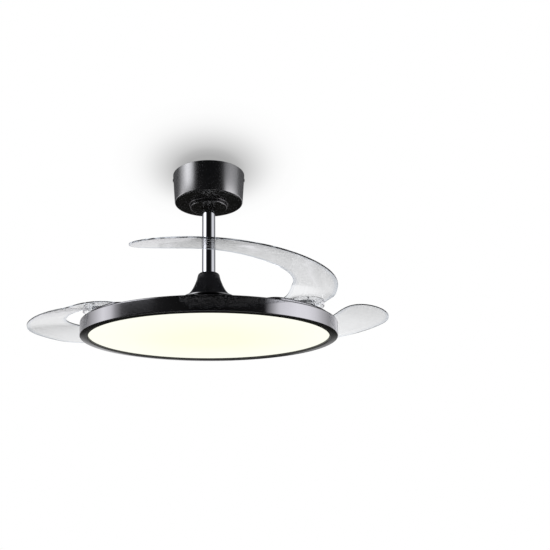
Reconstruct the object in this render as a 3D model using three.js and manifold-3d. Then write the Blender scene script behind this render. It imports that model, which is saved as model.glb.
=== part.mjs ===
// Retractable blade ceiling fan. Three clear blades lie folded over a flat round lamp
// and swing out on their own pivots when the motor turns. Everything hangs on a ball.
//
// Millimetres, +Z up. The origin is on the fan's axis in the ceiling plane, and the fan
// hangs below it. -Y is the front, and +X is on the right when seen from the front.

import * as THREE from 'three';
import { mergeVertices } from 'three/addons/utils/BufferGeometryUtils.js';
import { ParametricGeometry } from 'three/addons/geometries/ParametricGeometry.js';
import Module from 'manifold-3d';

const wasm = await Module();
wasm.setup();

// ---------------------------------------------------------------- driving sizes

// Fits that many pieces share
const FIT = 0.3;                     // gap per side of a round fit, and under a turned seat
const HOLE_PLAY = 0.3;               // a screw or pin hole is this much larger in radius
const COVER_PLAY = 0.6;              // a cover round the rod is this much larger in radius

// Ceiling bracket: a flat plate with two tabs for the canopy and a cradle for the ball
const BRACKET_PLATE_RADIUS = 52;
const BRACKET_PLATE_THICKNESS = 3;
const BRACKET_TAB_WIDTH = 26;
const BRACKET_TAB_THICKNESS = 3;
const BRACKET_TAB_HEIGHT = 14;
const BRACKET_TAB_INSET = 3.4;       // from the canopy's inner wall to the tab
const CEILING_SLOT_SPACING = 76;
const CEILING_SLOT_LENGTH = 18;
const CEILING_SLOT_WIDTH = 5.5;
const WIRE_HOLE_RADIUS = 7;
const WIRE_HOLE_OFFSET = 28;
const CHEEK_THICKNESS = 3;
const CHEEK_WIDTH = 18;
const CRADLE_RING_WIDTH = 5;         // from the ball's equator to the ring's outside

// Hanger ball on the rod's top end
const BALL_RADIUS = 22;
const BALL_TOP_HEIGHT = 12;          // from the ball's centre up to its flat top
const BALL_BOTTOM_DEPTH = 16;        // from the ball's centre down to its cut bottom
const CRADLE_SEAT_TOP = 8;           // the cradle holds the ball between these two
const CRADLE_SEAT_BOTTOM = 15;       // depths under its centre

// Downrod, with a cross pin at each end
const ROD_RADIUS = 13.4;
const ROD_WALL = 1.6;
const ROD_LENGTH = 241;
const ROD_HEADROOM = 1.5;            // from the bracket's plate to the rod's top end
const PIN_RADIUS = 2.5;
const PIN_OVERHANG = 5;              // how far a pin stands out at each side

// Canopy, its trim and its two screws
const CANOPY_TOP_RADIUS = 74.5;
const CANOPY_BOTTOM_RADIUS = 70.2;
const CANOPY_HEIGHT = 63;
const CANOPY_WALL = 1.5;
const CANOPY_CEILING_GAP = 0.5;
const CANOPY_EDGE_ROUND = 3;
const CANOPY_SCREW_DEPTH = 10;       // from the ceiling down to the screws
const TRIM_RADIUS = 40;
const TRIM_HEIGHT = 3.5;
const TRIM_STEP_RADIUS = 37.6;
const TRIM_STEP_HEIGHT = 6;          // the narrower step under the trim's disc
const TRIM_ROUND = 1;
const CANOPY_SCREW_HEAD_HEIGHT = 0.9;

// What the canopy hides: the radio receiver and the mains terminal
const RECEIVER_SIZE = [62, 21, 22];
const RECEIVER_SPACE = 2.5;          // from the cradle's cheek
const TERMINAL_SIZE = [32, 14, 12];
const TERMINAL_SPACE = 5;

// Coupling between the rod and the motor's shaft
const COUPLING_RADIUS = 19;
const COUPLING_SOCKET_DEPTH = 20;
const COUPLING_BASE_HEIGHT = 18.7;   // from the socket's floor to the coupling's bottom
const COUPLING_FLANGE_RADIUS = 42;
const COUPLING_FLANGE_THICKNESS = 3;
const COUPLING_FILLET = 5;

// Flared cover over the coupling
const COVER_WALL = 2;
const COVER_OVERLAP = 12.1;          // how far it stands over the coupling's top
const COVER_SHOULDER = 2.2;          // from its hole to the flat top's edge
const COVER_SPACE = 2.2;             // from the coupling to the cover's wall
const COVER_FOOT = 5;                // the flat edge round its base
const COVER_LIP = 4;                 // the part of its bottom that the flange holds

// Motor: a hollow shaft and a stator that stand still, and a shell that turns
const SHAFT_RADIUS = 8;
const SHAFT_WALL = 2;
const SHAFT_ENGAGEMENT = 14;         // inside the coupling
const SHAFT_COLLAR_RADIUS = 11;
const SHAFT_COLLAR_HEIGHT = 3;
const SHAFT_END = 1;                 // stands out under the lamp's nut
const MOTOR_GAP = 1.5;               // between the cover and the turning shell
const MOTOR_HEIGHT = 48.5;
const MOTOR_RADIUS = 97;
const MOTOR_WALL = 3;
const MOTOR_DOME_RADIUS = 50;        // where the flat top begins to slope
const MOTOR_DOME_DROP = 2.5;
const MOTOR_SHOULDER_DROP = 19;      // from the top down to the straight side
const MOTOR_SPLIT = 16.5;            // height of the bottom shell
const MOTOR_EDGE = 3;
const BEARING_RADIUS = 16;
const BEARING_WIDTH = 7;
const BEARING_BOSS_WALL = 3.7;
const MAGNET_THICKNESS = 5.2;
const MAGNET_HEIGHT = 18;
const AIR_GAP = 1;
const STATOR_HEIGHT = 12;
const STATOR_LIFT = 8.5;             // from the bottom shell's floor to the core
const STATOR_TEETH = 12;
const STATOR_SLOT_FLOOR = 42;        // radius at which the slots between teeth end
const STATOR_SLOT_WIDTH = 9;
const WINDING_INNER_RADIUS = 50;
const WINDING_OUTER_RADIUS = 75;
const WINDING_HEIGHT = 5.5;

// Blade carrier: a disc under the motor with a curved shoe under each pivot
const CARRIER_DISC_RADIUS = 176;
const CARRIER_DISC_THICKNESS = 3;
const CARRIER_HOLE_RADIUS = 26;
const SHOE_THICKNESS = 5;
const SHOE_REACH_IN = 21.7;          // from the pivot circle to the shoe's inner edge
const SHOE_REACH_OUT = 23.3;         // from the pivot circle to its outer edge
const SHOE_HALF_ANGLE = 22;
const SHOE_NECK_WIDTH = 56;
const SHOE_NECK_OVERLAP = 12;        // how far the neck runs in over the disc
const CARRIER_SCREW_CIRCLE = 60;

// Blade pivots
const BLADES = ['a', 'b', 'c'];
const PIVOT_RADIUS = 213.7;
const FIRST_PIVOT_ANGLE = -37.2;     // blade a: near right
const OPEN_ANGLE = 85;               // from folded to fully out
const REST_ANGLES = { a: 56.5, b: 32, c: 51.5 };
const POST_RADIUS = 6;
const POST_SPIGOT_RADIUS = 4;
const BUSHING_WALL = 2.2;
const WASHER_RADIUS = 18;
const WASHER_THICKNESS = 1.2;
const PIVOT_HEAD_RADIUS = 10;
const PIVOT_HEAD_HEIGHT = 2.5;
const PIVOT_HEAD_SINK = 2.1;         // from the blade's top down to the screw's head
const PIVOT_THREAD_RADIUS = 2.4;
const PIVOT_THREAD_LENGTH = 8;
const STOP_PIN_RADIUS = 2.5;
const STOP_PIN_HEIGHT = 8;
const STOP_PIN_CIRCLE = 24;          // its distance from the pivot

// Blades: a thin clear sheet, with a collar and a hub moulded under its flat root
const BLADE_THICKNESS = 3;
const BLADE_EDGE_THICKNESS = 1.6;
const COLLAR_RADIUS = 33;
const COLLAR_WALL = 3;
const COLLAR_HEIGHT = 10.7;
const HUB_RADIUS = 14;
const RIB_THICKNESS = 2;
const RIB_INNER_RADIUS = 20;
const SPARE_RIBS = 4;
const SPRING_WALL = 4.5;
const ROOT_FLAT_RADIUS = 36;         // flat round the pivot, then it turns into the pitch
const ROOT_BLEND_RADIUS = 70;
const ROOT_END_ANGLE = 12.1;         // the folded blade's two ends, round the fan's axis
const TIP_END_ANGLE = -132.8;
const ROOT_ROUND = 43;               // length of the rounded root and tip
const TIP_ROUND = 110;
// The folded blade: [angle round the axis, middle line in from the pivot circle, width]
const BLADE_STATIONS = [
  [12.1, -0.8, 86], [-9, 4.2, 75.5], [-24, 7.2, 71], [-42, 9.4, 72.4], [-60, 10.4, 78.4],
  [-78, 11.9, 88], [-96, 14.3, 95], [-112, 16.4, 97], [-132.8, 21, 98],
];
const EDGE_REACH = 31.3;             // this far outside the pivot circle, the pitched sheet
const EDGE_DROP = 3.9;               // lies this much under the flat root
const PITCH_SLOPE = 0.264;           // rise per mm towards the axis
const CAMBER_RADIUS = 685;           // how fast that slope fades
const TIP_RISE = 6.5;                // lifts the tip over the next blade's root
const TIP_RISE_START = -50;
const TIP_RISE_END = -105;

// Lamp under the carrier
const LAMP_GAP = 2.1;                // between the carrier's shoes and the lamp
const LAMP_HEIGHT = 26.4;
const LAMP_RADIUS = 246.5;
const RIM_WALL = 2;
const RIM_TOP_FLANGE = 10;
const RIM_TOP_THICKNESS = 1.5;
const RIM_LIP_WIDTH = 14;
const RIM_LIP_THICKNESS = 3;
const RIM_EDGE = 1;
const PAN_THICKNESS = 1.2;
const DIFFUSER_THICKNESS = 3;
const DIFFUSER_PLAY = 0.6;
const FLANGE_RADIUS = 34;
const FLANGE_THICKNESS = 2.6;
const NUT_RADIUS = 13;
const NUT_HEIGHT = 6;
const LED_BOARD_INNER_RADIUS = 62;
const LED_BOARD_MARGIN = 16;         // from the rim's wall to the board
const LED_BOARD_THICKNESS = 1.6;
const LED_ROWS = [110, 190];
const LEDS_PER_ROW = 8;
const LED_SIZE = [5, 5, 1];
const DRIVER_SIZE = [70, 26, 13];
const DRIVER_OFFSET = 34;
const LAMP_SCREW_CIRCLE = 26;

// Small screws of the canopy, the carrier and the lamp
const SCREW_RADIUS = 1.9;
const SCREW_HEAD_RADIUS = 3.8;
const SCREW_HEAD_HEIGHT = 1.8;

// Steps of the round surfaces
const LARGE_STEPS = 60;
const MEDIUM_STEPS = 36;
const ROUND_STEPS = 24;
const SMALL_STEPS = 16;
const SCREW_STEPS = 8;

// ---------------------------------------------------------------- levels, top down

const ceiling = 0;
const plateBottom = ceiling - BRACKET_PLATE_THICKNESS;
const rodTop = plateBottom - ROD_HEADROOM;
const rodBottom = rodTop - ROD_LENGTH;
const hangerPinZ = rodTop - PIN_RADIUS - 2.2;
const ballTop = hangerPinZ - PIN_RADIUS - FIT;
const ballZ = ballTop - BALL_TOP_HEIGHT;
const canopyBottom = ceiling - CANOPY_CEILING_GAP - CANOPY_HEIGHT;
const socketFloor = rodBottom - FIT;
const couplingTop = socketFloor + COUPLING_SOCKET_DEPTH;
const couplingBottom = socketFloor - COUPLING_BASE_HEIGHT;
const couplingPinZ = socketFloor + COUPLING_SOCKET_DEPTH / 2;
const coverTop = couplingTop + COVER_OVERLAP;
const coverBottom = couplingBottom - COVER_WALL;
const motorTop = coverBottom - MOTOR_GAP;
const motorBottom = motorTop - MOTOR_HEIGHT;
const motorFloor = motorBottom + MOTOR_WALL;
const motorSplitZ = motorBottom + MOTOR_SPLIT;
const statorBottom = motorFloor + STATOR_LIFT;
const statorTop = statorBottom + STATOR_HEIGHT;
const carrierTop = motorBottom;
const shoeBottom = carrierTop - SHOE_THICKNESS;
const washerTop = carrierTop + WASHER_THICKNESS;
const collarBottom = washerTop + FIT;
const rootBottom = collarBottom + COLLAR_HEIGHT;
const rootMiddle = rootBottom + BLADE_THICKNESS / 2;
const rootTop = rootBottom + BLADE_THICKNESS;
const headTop = rootTop - PIVOT_HEAD_SINK;
const headBottom = headTop - PIVOT_HEAD_HEIGHT;
const hubTop = headBottom - FIT;
const lampTop = shoeBottom - LAMP_GAP;
const lampBottom = lampTop - LAMP_HEIGHT;
const panTop = lampTop - RIM_TOP_THICKNESS;
const panBottom = panTop - PAN_THICKNESS;
const flangeTop = panTop + FLANGE_THICKNESS;
const lipTop = lampBottom + RIM_LIP_THICKNESS;
const nutBottom = panBottom - NUT_HEIGHT;
const shaftTop = couplingBottom + SHAFT_ENGAGEMENT;
const shaftBottom = nutBottom - SHAFT_END;

// ---------------------------------------------------------------- helpers

const rad = THREE.MathUtils.degToRad;
const smooth = (t) => THREE.MathUtils.smoothstep(t, 0, 1);
const polar = (radius, degrees) => [radius * Math.cos(rad(degrees)), radius * Math.sin(rad(degrees))];

// One closed body: shared vertices merged, no collapsed triangles, faces pointing out.
function closed(geometry) {
  const bare = geometry.clone();
  bare.deleteAttribute('normal');
  bare.deleteAttribute('uv');
  const merged = mergeVertices(bare, 1e-4);
  const position = merged.attributes.position;
  const index = merged.index.array;
  const faces = [];
  const p = [0, 1, 2].map(() => new THREE.Vector3());
  let volume = 0;
  for (let i = 0; i < index.length; i += 3) {
    const [a, b, c] = index.slice(i, i + 3);
    if (a === b || b === c || c === a) continue;
    [a, b, c].forEach((v, k) => p[k].fromBufferAttribute(position, v));
    volume += p[0].dot(p[1].clone().cross(p[2]));
    faces.push(a, b, c);
  }
  if (volume < 0) faces.reverse();
  merged.setIndex(faces);
  return merged;
}

function toSolid(geometry) {
  const body = closed(geometry);
  return new wasm.Manifold(new wasm.Mesh({
    numProp: 3,
    vertProperties: new Float32Array(body.attributes.position.array),
    triVerts: new Uint32Array(body.index.array),
  }));
}

function fromSolid(solid) {
  const mesh = solid.getMesh();
  const geometry = new THREE.BufferGeometry();
  geometry.setAttribute('position', new THREE.BufferAttribute(mesh.vertProperties, 3));
  geometry.setIndex(new THREE.BufferAttribute(mesh.triVerts, 1));
  return geometry;
}

const join = (...geometries) => fromSolid(geometries.map(toSolid).reduce((a, b) => a.add(b)));
const cut = (geometry, ...tools) =>
  fromSolid(tools.map(toSolid).reduce((a, b) => a.subtract(b), toSolid(geometry)));

// A closed outline of [radius, z] points, turned round the Z axis.
function turned(outline, steps = ROUND_STEPS) {
  const points = outline.map(([r, z]) => new THREE.Vector2(r, z));
  const onAxis = outline[0][0] === 0 && outline.at(-1)[0] === 0;
  if (!onAxis) points.push(points[0].clone());
  return new THREE.LatheGeometry(points, steps).rotateX(Math.PI / 2);
}

const ring = (inner, outer, bottom, top, steps) =>
  turned([[inner, bottom], [outer, bottom], [outer, top], [inner, top]], steps);
const disc = (radius, bottom, top, steps) =>
  turned([[0, bottom], [radius, bottom], [radius, top], [0, top]], steps);

function box([x, y, z], [cx, cy, cz]) {
  return new THREE.BoxGeometry(x, y, z).translate(cx, cy, cz);
}

function plate(shape, bottom, top, steps = SMALL_STEPS) {
  const options = { depth: top - bottom, bevelEnabled: false, curveSegments: steps };
  return new THREE.ExtrudeGeometry(shape, options).translate(0, 0, bottom);
}

const alongX = (geometry) => geometry.rotateY(Math.PI / 2);
const alongY = (geometry) => geometry.rotateX(Math.PI / 2);
const turnedBy = (geometry, degrees) => geometry.rotateZ(rad(degrees));

// ---------------------------------------------------------------- materials

const finish = (color, roughness, metalness) =>
  new THREE.MeshStandardMaterial({ color, roughness, metalness });
const satinBlack = finish(0x1b1b1c, 0.4, 0.3);
const chrome = finish(0xd6d8da, 0.08, 1);
const steel = finish(0xa9acb0, 0.35, 1);
const aluminium = finish(0x8d9094, 0.4, 1);
const brass = finish(0xb0904f, 0.35, 1);
const copper = finish(0xa8632f, 0.4, 1);
const magnet = finish(0x2e3033, 0.6, 0.4);
const blackPlastic = finish(0x222223, 0.5, 0);
const whitePlastic = finish(0xe9e9e6, 0.5, 0);
const boardWhite = finish(0xf1f1ec, 0.6, 0);
const glowing = finish(0xfffdf0, 0.4, 0);
const clear = new THREE.MeshStandardMaterial({
  color: 0xdfe3e6, roughness: 0.08, metalness: 0, transparent: true, opacity: 0.45,
});

const fan = new THREE.Group();
const rotor = new THREE.Group();
fan.add(rotor);

function add(group, name, geometry, material) {
  const mesh = new THREE.Mesh(closed(geometry), material);
  mesh.name = name;
  group.add(mesh);
  return mesh;
}

// ---------------------------------------------------------------- ceiling bracket

const canopyRadiusAt = (depth) =>
  THREE.MathUtils.lerp(CANOPY_TOP_RADIUS, CANOPY_BOTTOM_RADIUS, depth / CANOPY_HEIGHT);
const tabOuter = canopyRadiusAt(BRACKET_TAB_HEIGHT) - CANOPY_WALL - BRACKET_TAB_INSET;
const cheekInner = BALL_RADIUS + CRADLE_RING_WIDTH - CHEEK_THICKNESS;
const cheekOuter = cheekInner + CHEEK_THICKNESS;
const ballRadiusAt = (depth, radius) => Math.sqrt(radius ** 2 - depth ** 2);

function ceilingBracket() {
  const tabHeight = BRACKET_TAB_HEIGHT;
  const bar = box([2 * tabOuter, BRACKET_TAB_WIDTH, BRACKET_PLATE_THICKNESS],
    [0, 0, (ceiling + plateBottom) / 2]);
  const tabs = [-1, 1].map((side) => box([BRACKET_TAB_THICKNESS, BRACKET_TAB_WIDTH, tabHeight],
    [side * (tabOuter - BRACKET_TAB_THICKNESS / 2), 0, ceiling - tabHeight / 2]));
  const cradleBottom = ballZ - CRADLE_SEAT_BOTTOM;
  const cheekHeight = ceiling - cradleBottom;
  const cheeks = [-1, 1].map((side) => box([CHEEK_WIDTH, CHEEK_THICKNESS, cheekHeight],
    [0, side * (cheekInner + CHEEK_THICKNESS / 2), ceiling - cheekHeight / 2]));
  const seat = [];
  for (let i = 0; i <= 4; i += 1) {
    const depth = THREE.MathUtils.lerp(CRADLE_SEAT_TOP, CRADLE_SEAT_BOTTOM, i / 4);
    seat.push([ballRadiusAt(depth, BALL_RADIUS) + FIT * 1.5, ballZ - depth]);
  }
  const cradle = turned([...seat, [cheekOuter, cradleBottom], [cheekOuter, seat[0][1]]]);
  const rodSlot = box([cheekOuter * 2, 2 * (ROD_RADIUS + COVER_PLAY), BALL_RADIUS],
    [cheekOuter, 0, cradleBottom]);
  const slotDepth = 4 * BRACKET_PLATE_THICKNESS;
  const slots = [-1, 1].map((side) => box([CEILING_SLOT_LENGTH, CEILING_SLOT_WIDTH, slotDepth],
    [side * CEILING_SLOT_SPACING / 2, 0, ceiling]));
  const wireAt = polar(WIRE_HOLE_OFFSET, -135);
  const wireHole = disc(WIRE_HOLE_RADIUS, plateBottom - 1, ceiling + 1, SMALL_STEPS)
    .translate(wireAt[0], wireAt[1], 0);
  const screwHole = alongX(disc(SCREW_RADIUS + HOLE_PLAY, -CANOPY_TOP_RADIUS, CANOPY_TOP_RADIUS,
    SCREW_STEPS)).translate(0, 0, ceiling - CANOPY_SCREW_DEPTH);
  const base = join(disc(BRACKET_PLATE_RADIUS, plateBottom, ceiling), bar, ...tabs);
  const withCradle = join(base, ...cheeks, cut(cradle, rodSlot));
  return cut(withCradle, ...slots, wireHole, screwHole);
}

add(fan, 'ceiling_bracket', ceilingBracket(), steel);

const receiverY = cheekOuter + RECEIVER_SPACE + RECEIVER_SIZE[1] / 2;
add(fan, 'receiver_box', box(RECEIVER_SIZE, [0, receiverY, plateBottom - RECEIVER_SIZE[2] / 2]),
  blackPlastic);
const terminalY = -(cheekOuter + TERMINAL_SPACE + TERMINAL_SIZE[1] / 2);
add(fan, 'terminal_block',
  box(TERMINAL_SIZE, [0, terminalY, plateBottom - TERMINAL_SIZE[2] / 2]), whitePlastic);

// ---------------------------------------------------------------- ball and downrod

function hangerBall() {
  const outline = [];
  for (let i = 0; i <= 8; i += 1) {
    const depth = THREE.MathUtils.lerp(BALL_BOTTOM_DEPTH, -BALL_TOP_HEIGHT, i / 8);
    outline.push([ballRadiusAt(depth, BALL_RADIUS), ballZ - depth]);
  }
  const bore = ROD_RADIUS + FIT;
  const flats = [[bore, ballZ + BALL_TOP_HEIGHT], [bore, ballZ - BALL_BOTTOM_DEPTH]];
  return turned([...outline, ...flats]);
}

function downrod() {
  const tube = ring(ROD_RADIUS - ROD_WALL, ROD_RADIUS, rodBottom, rodTop);
  const hole = () => disc(PIN_RADIUS + HOLE_PLAY, -2 * ROD_RADIUS, 2 * ROD_RADIUS, SMALL_STEPS);
  return cut(tube, alongY(hole()).translate(0, 0, hangerPinZ),
    alongX(hole()).translate(0, 0, couplingPinZ));
}

add(fan, 'hanger_ball', hangerBall(), blackPlastic);
add(fan, 'downrod', downrod(), chrome);
const hangerPinHalf = ROD_RADIUS + PIN_OVERHANG;
add(fan, 'hanger_pin', alongY(disc(PIN_RADIUS, -hangerPinHalf, hangerPinHalf, SMALL_STEPS))
  .translate(0, 0, hangerPinZ), steel);

// ---------------------------------------------------------------- canopy and trim

function canopy() {
  const top = ceiling - CANOPY_CEILING_GAP;
  const r = CANOPY_EDGE_ROUND;
  const hole = ROD_RADIUS + COVER_PLAY;
  const edge = [];
  for (let i = 0; i <= 3; i += 1) {
    const [dx, dz] = polar(r, -90 + 30 * i);
    edge.push([CANOPY_BOTTOM_RADIUS - r + dx, canopyBottom + r + dz]);
  }
  const inner = r - CANOPY_WALL;
  const shell = turned([
    [hole, canopyBottom], ...edge, [CANOPY_TOP_RADIUS, top], [CANOPY_TOP_RADIUS - CANOPY_WALL, top],
    [CANOPY_BOTTOM_RADIUS - CANOPY_WALL, canopyBottom + r],
    [CANOPY_BOTTOM_RADIUS - r + inner * 0.7, canopyBottom + r - inner * 0.7],
    [CANOPY_BOTTOM_RADIUS - r, canopyBottom + CANOPY_WALL], [hole, canopyBottom + CANOPY_WALL],
  ], MEDIUM_STEPS);
  const screwHole = alongX(disc(SCREW_RADIUS + HOLE_PLAY, -2 * CANOPY_TOP_RADIUS,
    2 * CANOPY_TOP_RADIUS, SCREW_STEPS)).translate(0, 0, ceiling - CANOPY_SCREW_DEPTH);
  return cut(shell, screwHole);
}

function canopyTrim() {
  const hole = ROD_RADIUS + COVER_PLAY;
  const e = TRIM_ROUND;
  const step = canopyBottom - TRIM_HEIGHT;
  const bottom = step - TRIM_STEP_HEIGHT;
  return turned([
    [hole, bottom], [TRIM_STEP_RADIUS - e, bottom], [TRIM_STEP_RADIUS, bottom + e],
    [TRIM_STEP_RADIUS, step], [TRIM_RADIUS - e, step], [TRIM_RADIUS, step + e],
    [TRIM_RADIUS, canopyBottom], [hole, canopyBottom],
  ]);
}

// A screw with a low head, whose underside is at z = 0 and whose shank points down.
const screw = (length, headHeight = SCREW_HEAD_HEIGHT) => turned([
  [0, -length], [SCREW_RADIUS, -length], [SCREW_RADIUS, 0], [SCREW_HEAD_RADIUS, 0],
  [SCREW_HEAD_RADIUS, headHeight * 0.5], [SCREW_HEAD_RADIUS * 0.7, headHeight], [0, headHeight],
], SCREW_STEPS);

add(fan, 'canopy', canopy(), satinBlack);
add(fan, 'canopy_trim', canopyTrim(), satinBlack);
const canopySeat = canopyRadiusAt(CANOPY_SCREW_DEPTH - SCREW_HEAD_RADIUS) + FIT;
const canopyScrewLength = canopySeat - tabOuter + BRACKET_TAB_THICKNESS + 2;
[-1, 1].forEach((side, i) => {
  const geometry = screw(canopyScrewLength, CANOPY_SCREW_HEAD_HEIGHT).rotateY(side * Math.PI / 2)
    .translate(side * canopySeat, 0, ceiling - CANOPY_SCREW_DEPTH);
  add(fan, `canopy_screw_${i + 1}`, geometry, satinBlack);
});

// ---------------------------------------------------------------- coupling and cover

function coupling() {
  const socket = ROD_RADIUS + FIT;
  const shaftBore = SHAFT_RADIUS + FIT;
  const wireBore = SHAFT_RADIUS - SHAFT_WALL;
  const flangeZ = couplingBottom + COUPLING_FLANGE_THICKNESS;
  const body = turned([
    [shaftBore, couplingBottom], [COUPLING_FLANGE_RADIUS, couplingBottom],
    [COUPLING_FLANGE_RADIUS, flangeZ], [COUPLING_RADIUS + COUPLING_FILLET, flangeZ],
    [COUPLING_RADIUS, flangeZ + COUPLING_FILLET], [COUPLING_RADIUS, couplingTop],
    [socket, couplingTop], [socket, socketFloor], [wireBore, socketFloor],
    [wireBore, shaftTop + FIT], [shaftBore, shaftTop + FIT],
  ], ROUND_STEPS);
  const pinHole = alongX(disc(PIN_RADIUS + HOLE_PLAY, -2 * COUPLING_RADIUS, 2 * COUPLING_RADIUS,
    SMALL_STEPS));
  return cut(body, pinHole.translate(0, 0, couplingPinZ));
}

function couplingCover() {
  const hole = ROD_RADIUS + COVER_PLAY;
  const neck = hole + COVER_SHOULDER;
  const shoulder = COUPLING_RADIUS + COVER_SPACE + COVER_WALL;
  const skirt = COUPLING_FLANGE_RADIUS + COVER_SPACE + COVER_WALL;
  const skirtZ = couplingBottom + COVER_WALL;
  const outer = [[neck, coverTop], [neck + 1.4, coverTop - 1.2]];
  outer.push([shoulder - 2.4, coverTop - COVER_OVERLAP * 0.46]);
  const inner = [[hole, coverTop], [hole, coverTop - COVER_WALL * 1.5]];
  inner.push([shoulder - 2 * COVER_WALL, coverTop - COVER_OVERLAP * 0.6]);
  for (let i = 0; i <= 5; i += 1) {
    const t = i / 5;
    const flare = 0.6 * t + 0.4 * t ** 4;
    const radius = THREE.MathUtils.lerp(shoulder, skirt, flare);
    const z = THREE.MathUtils.lerp(couplingTop, skirtZ, t);
    outer.push([radius, z]);
    inner.push([radius - COVER_WALL, z]);
  }
  const foot = skirt + COVER_FOOT;
  outer.push([foot, skirtZ - COVER_WALL * 0.8], [foot, coverBottom]);
  const lipInner = COUPLING_FLANGE_RADIUS - COVER_LIP;
  outer.push([lipInner, coverBottom], [lipInner, couplingBottom]);
  inner.push([skirt - COVER_WALL, couplingBottom]);
  return turned([...outer, ...inner.reverse()]);
}

add(fan, 'coupling', coupling(), steel);
const couplingPinHalf = COUPLING_RADIUS + COVER_SPACE;
add(fan, 'coupling_pin', alongX(disc(PIN_RADIUS, -couplingPinHalf, couplingPinHalf, SMALL_STEPS))
  .translate(0, 0, couplingPinZ), steel);
add(fan, 'coupling_cover', couplingCover(), satinBlack);

// ---------------------------------------------------------------- motor

function motorShaft() {
  const bore = SHAFT_RADIUS - SHAFT_WALL;
  return turned([
    [bore, shaftBottom], [SHAFT_RADIUS, shaftBottom], [SHAFT_RADIUS, flangeTop],
    [SHAFT_COLLAR_RADIUS, flangeTop], [SHAFT_COLLAR_RADIUS, flangeTop + SHAFT_COLLAR_HEIGHT],
    [SHAFT_RADIUS, flangeTop + SHAFT_COLLAR_HEIGHT], [SHAFT_RADIUS, shaftTop], [bore, shaftTop],
  ], SMALL_STEPS);
}

const shellHole = SHAFT_RADIUS + COVER_PLAY;
const pocket = BEARING_RADIUS + FIT;
const boss = pocket + BEARING_BOSS_WALL;
const shoulderZ = motorTop - MOTOR_SHOULDER_DROP;

function motorTopShell() {
  const w = MOTOR_WALL;
  const roof = motorTop - w;
  const domeZ = motorTop - MOTOR_DOME_DROP;
  const slopeRadius = MOTOR_RADIUS - MOTOR_EDGE * 1.4;
  const slopeZ = shoulderZ + MOTOR_EDGE * 1.4;
  return turned([
    [shellHole, motorTop], [boss, motorTop], [MOTOR_DOME_RADIUS, domeZ], [slopeRadius, slopeZ],
    [MOTOR_RADIUS, shoulderZ], [MOTOR_RADIUS, motorSplitZ], [MOTOR_RADIUS - w, motorSplitZ],
    [MOTOR_RADIUS - w, shoulderZ], [slopeRadius - w * 0.6, slopeZ - w * 0.8],
    [MOTOR_DOME_RADIUS, domeZ - w], [boss, roof - 0.2],
    [boss, roof - BEARING_WIDTH - FIT], [pocket, roof - BEARING_WIDTH - FIT], [pocket, roof],
    [shellHole, roof],
  ], MEDIUM_STEPS);
}

function motorBottomShell() {
  const w = MOTOR_WALL;
  const e = MOTOR_EDGE;
  const bossTop = motorFloor + BEARING_WIDTH + FIT;
  const cup = turned([
    [shellHole, motorBottom], [MOTOR_RADIUS - e, motorBottom], [MOTOR_RADIUS, motorBottom + e],
    [MOTOR_RADIUS, motorSplitZ], [MOTOR_RADIUS - w, motorSplitZ], [MOTOR_RADIUS - w, motorFloor],
    [boss, motorFloor], [boss, bossTop], [pocket, bossTop], [pocket, motorFloor],
    [shellHole, motorFloor],
  ], MEDIUM_STEPS);
  return cut(cup, ...screwHoles(CARRIER_SCREW_CIRCLE, motorBottom));
}

// Three screws on a circle, each midway between two pivots.
const screwAngle = (i) => FIRST_PIVOT_ANGLE + 60 + 120 * i;

function screwHoles(circle, z) {
  return [0, 1, 2].map((i) => {
    const [x, y] = polar(circle, screwAngle(i));
    return disc(SCREW_RADIUS + HOLE_PLAY, z - 10, z + 10, SCREW_STEPS).translate(x, y, 0);
  });
}

function statorCore() {
  const outer = MOTOR_RADIUS - MOTOR_WALL - FIT - MAGNET_THICKNESS - AIR_GAP;
  const core = ring(SHAFT_RADIUS + FIT, outer, statorBottom, statorTop, ROUND_STEPS);
  const slots = [];
  for (let i = 0; i < STATOR_TEETH; i += 1) {
    const length = outer + 5 - STATOR_SLOT_FLOOR;
    const slot = box([length, STATOR_SLOT_WIDTH, 2 * STATOR_HEIGHT],
      [STATOR_SLOT_FLOOR + length / 2, 0, (statorBottom + statorTop) / 2]);
    slots.push(turnedBy(slot, i * 360 / STATOR_TEETH));
  }
  return cut(core, ...slots);
}

add(fan, 'motor_shaft', motorShaft(), steel);
add(fan, 'stator_core', statorCore(), steel);
add(fan, 'winding_upper', ring(WINDING_INNER_RADIUS, WINDING_OUTER_RADIUS, statorTop,
  statorTop + WINDING_HEIGHT), copper);
add(fan, 'winding_lower', ring(WINDING_INNER_RADIUS, WINDING_OUTER_RADIUS,
  statorBottom - WINDING_HEIGHT, statorBottom), copper);

add(rotor, 'motor_top_shell', motorTopShell(), satinBlack);
add(rotor, 'motor_bottom_shell', motorBottomShell(), satinBlack);
const magnetOuter = MOTOR_RADIUS - MOTOR_WALL - FIT;
const magnetZ = (statorBottom + statorTop) / 2;
add(rotor, 'magnet_ring', ring(magnetOuter - MAGNET_THICKNESS, magnetOuter,
  magnetZ - MAGNET_HEIGHT / 2, magnetZ + MAGNET_HEIGHT / 2, MEDIUM_STEPS), magnet);
const bearing = (bottom) =>
  ring(SHAFT_RADIUS + FIT, BEARING_RADIUS, bottom, bottom + BEARING_WIDTH, SMALL_STEPS);
add(rotor, 'upper_bearing', bearing(motorTop - MOTOR_WALL - BEARING_WIDTH), steel);
add(rotor, 'lower_bearing', bearing(motorFloor), steel);

// ---------------------------------------------------------------- blade carrier

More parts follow.
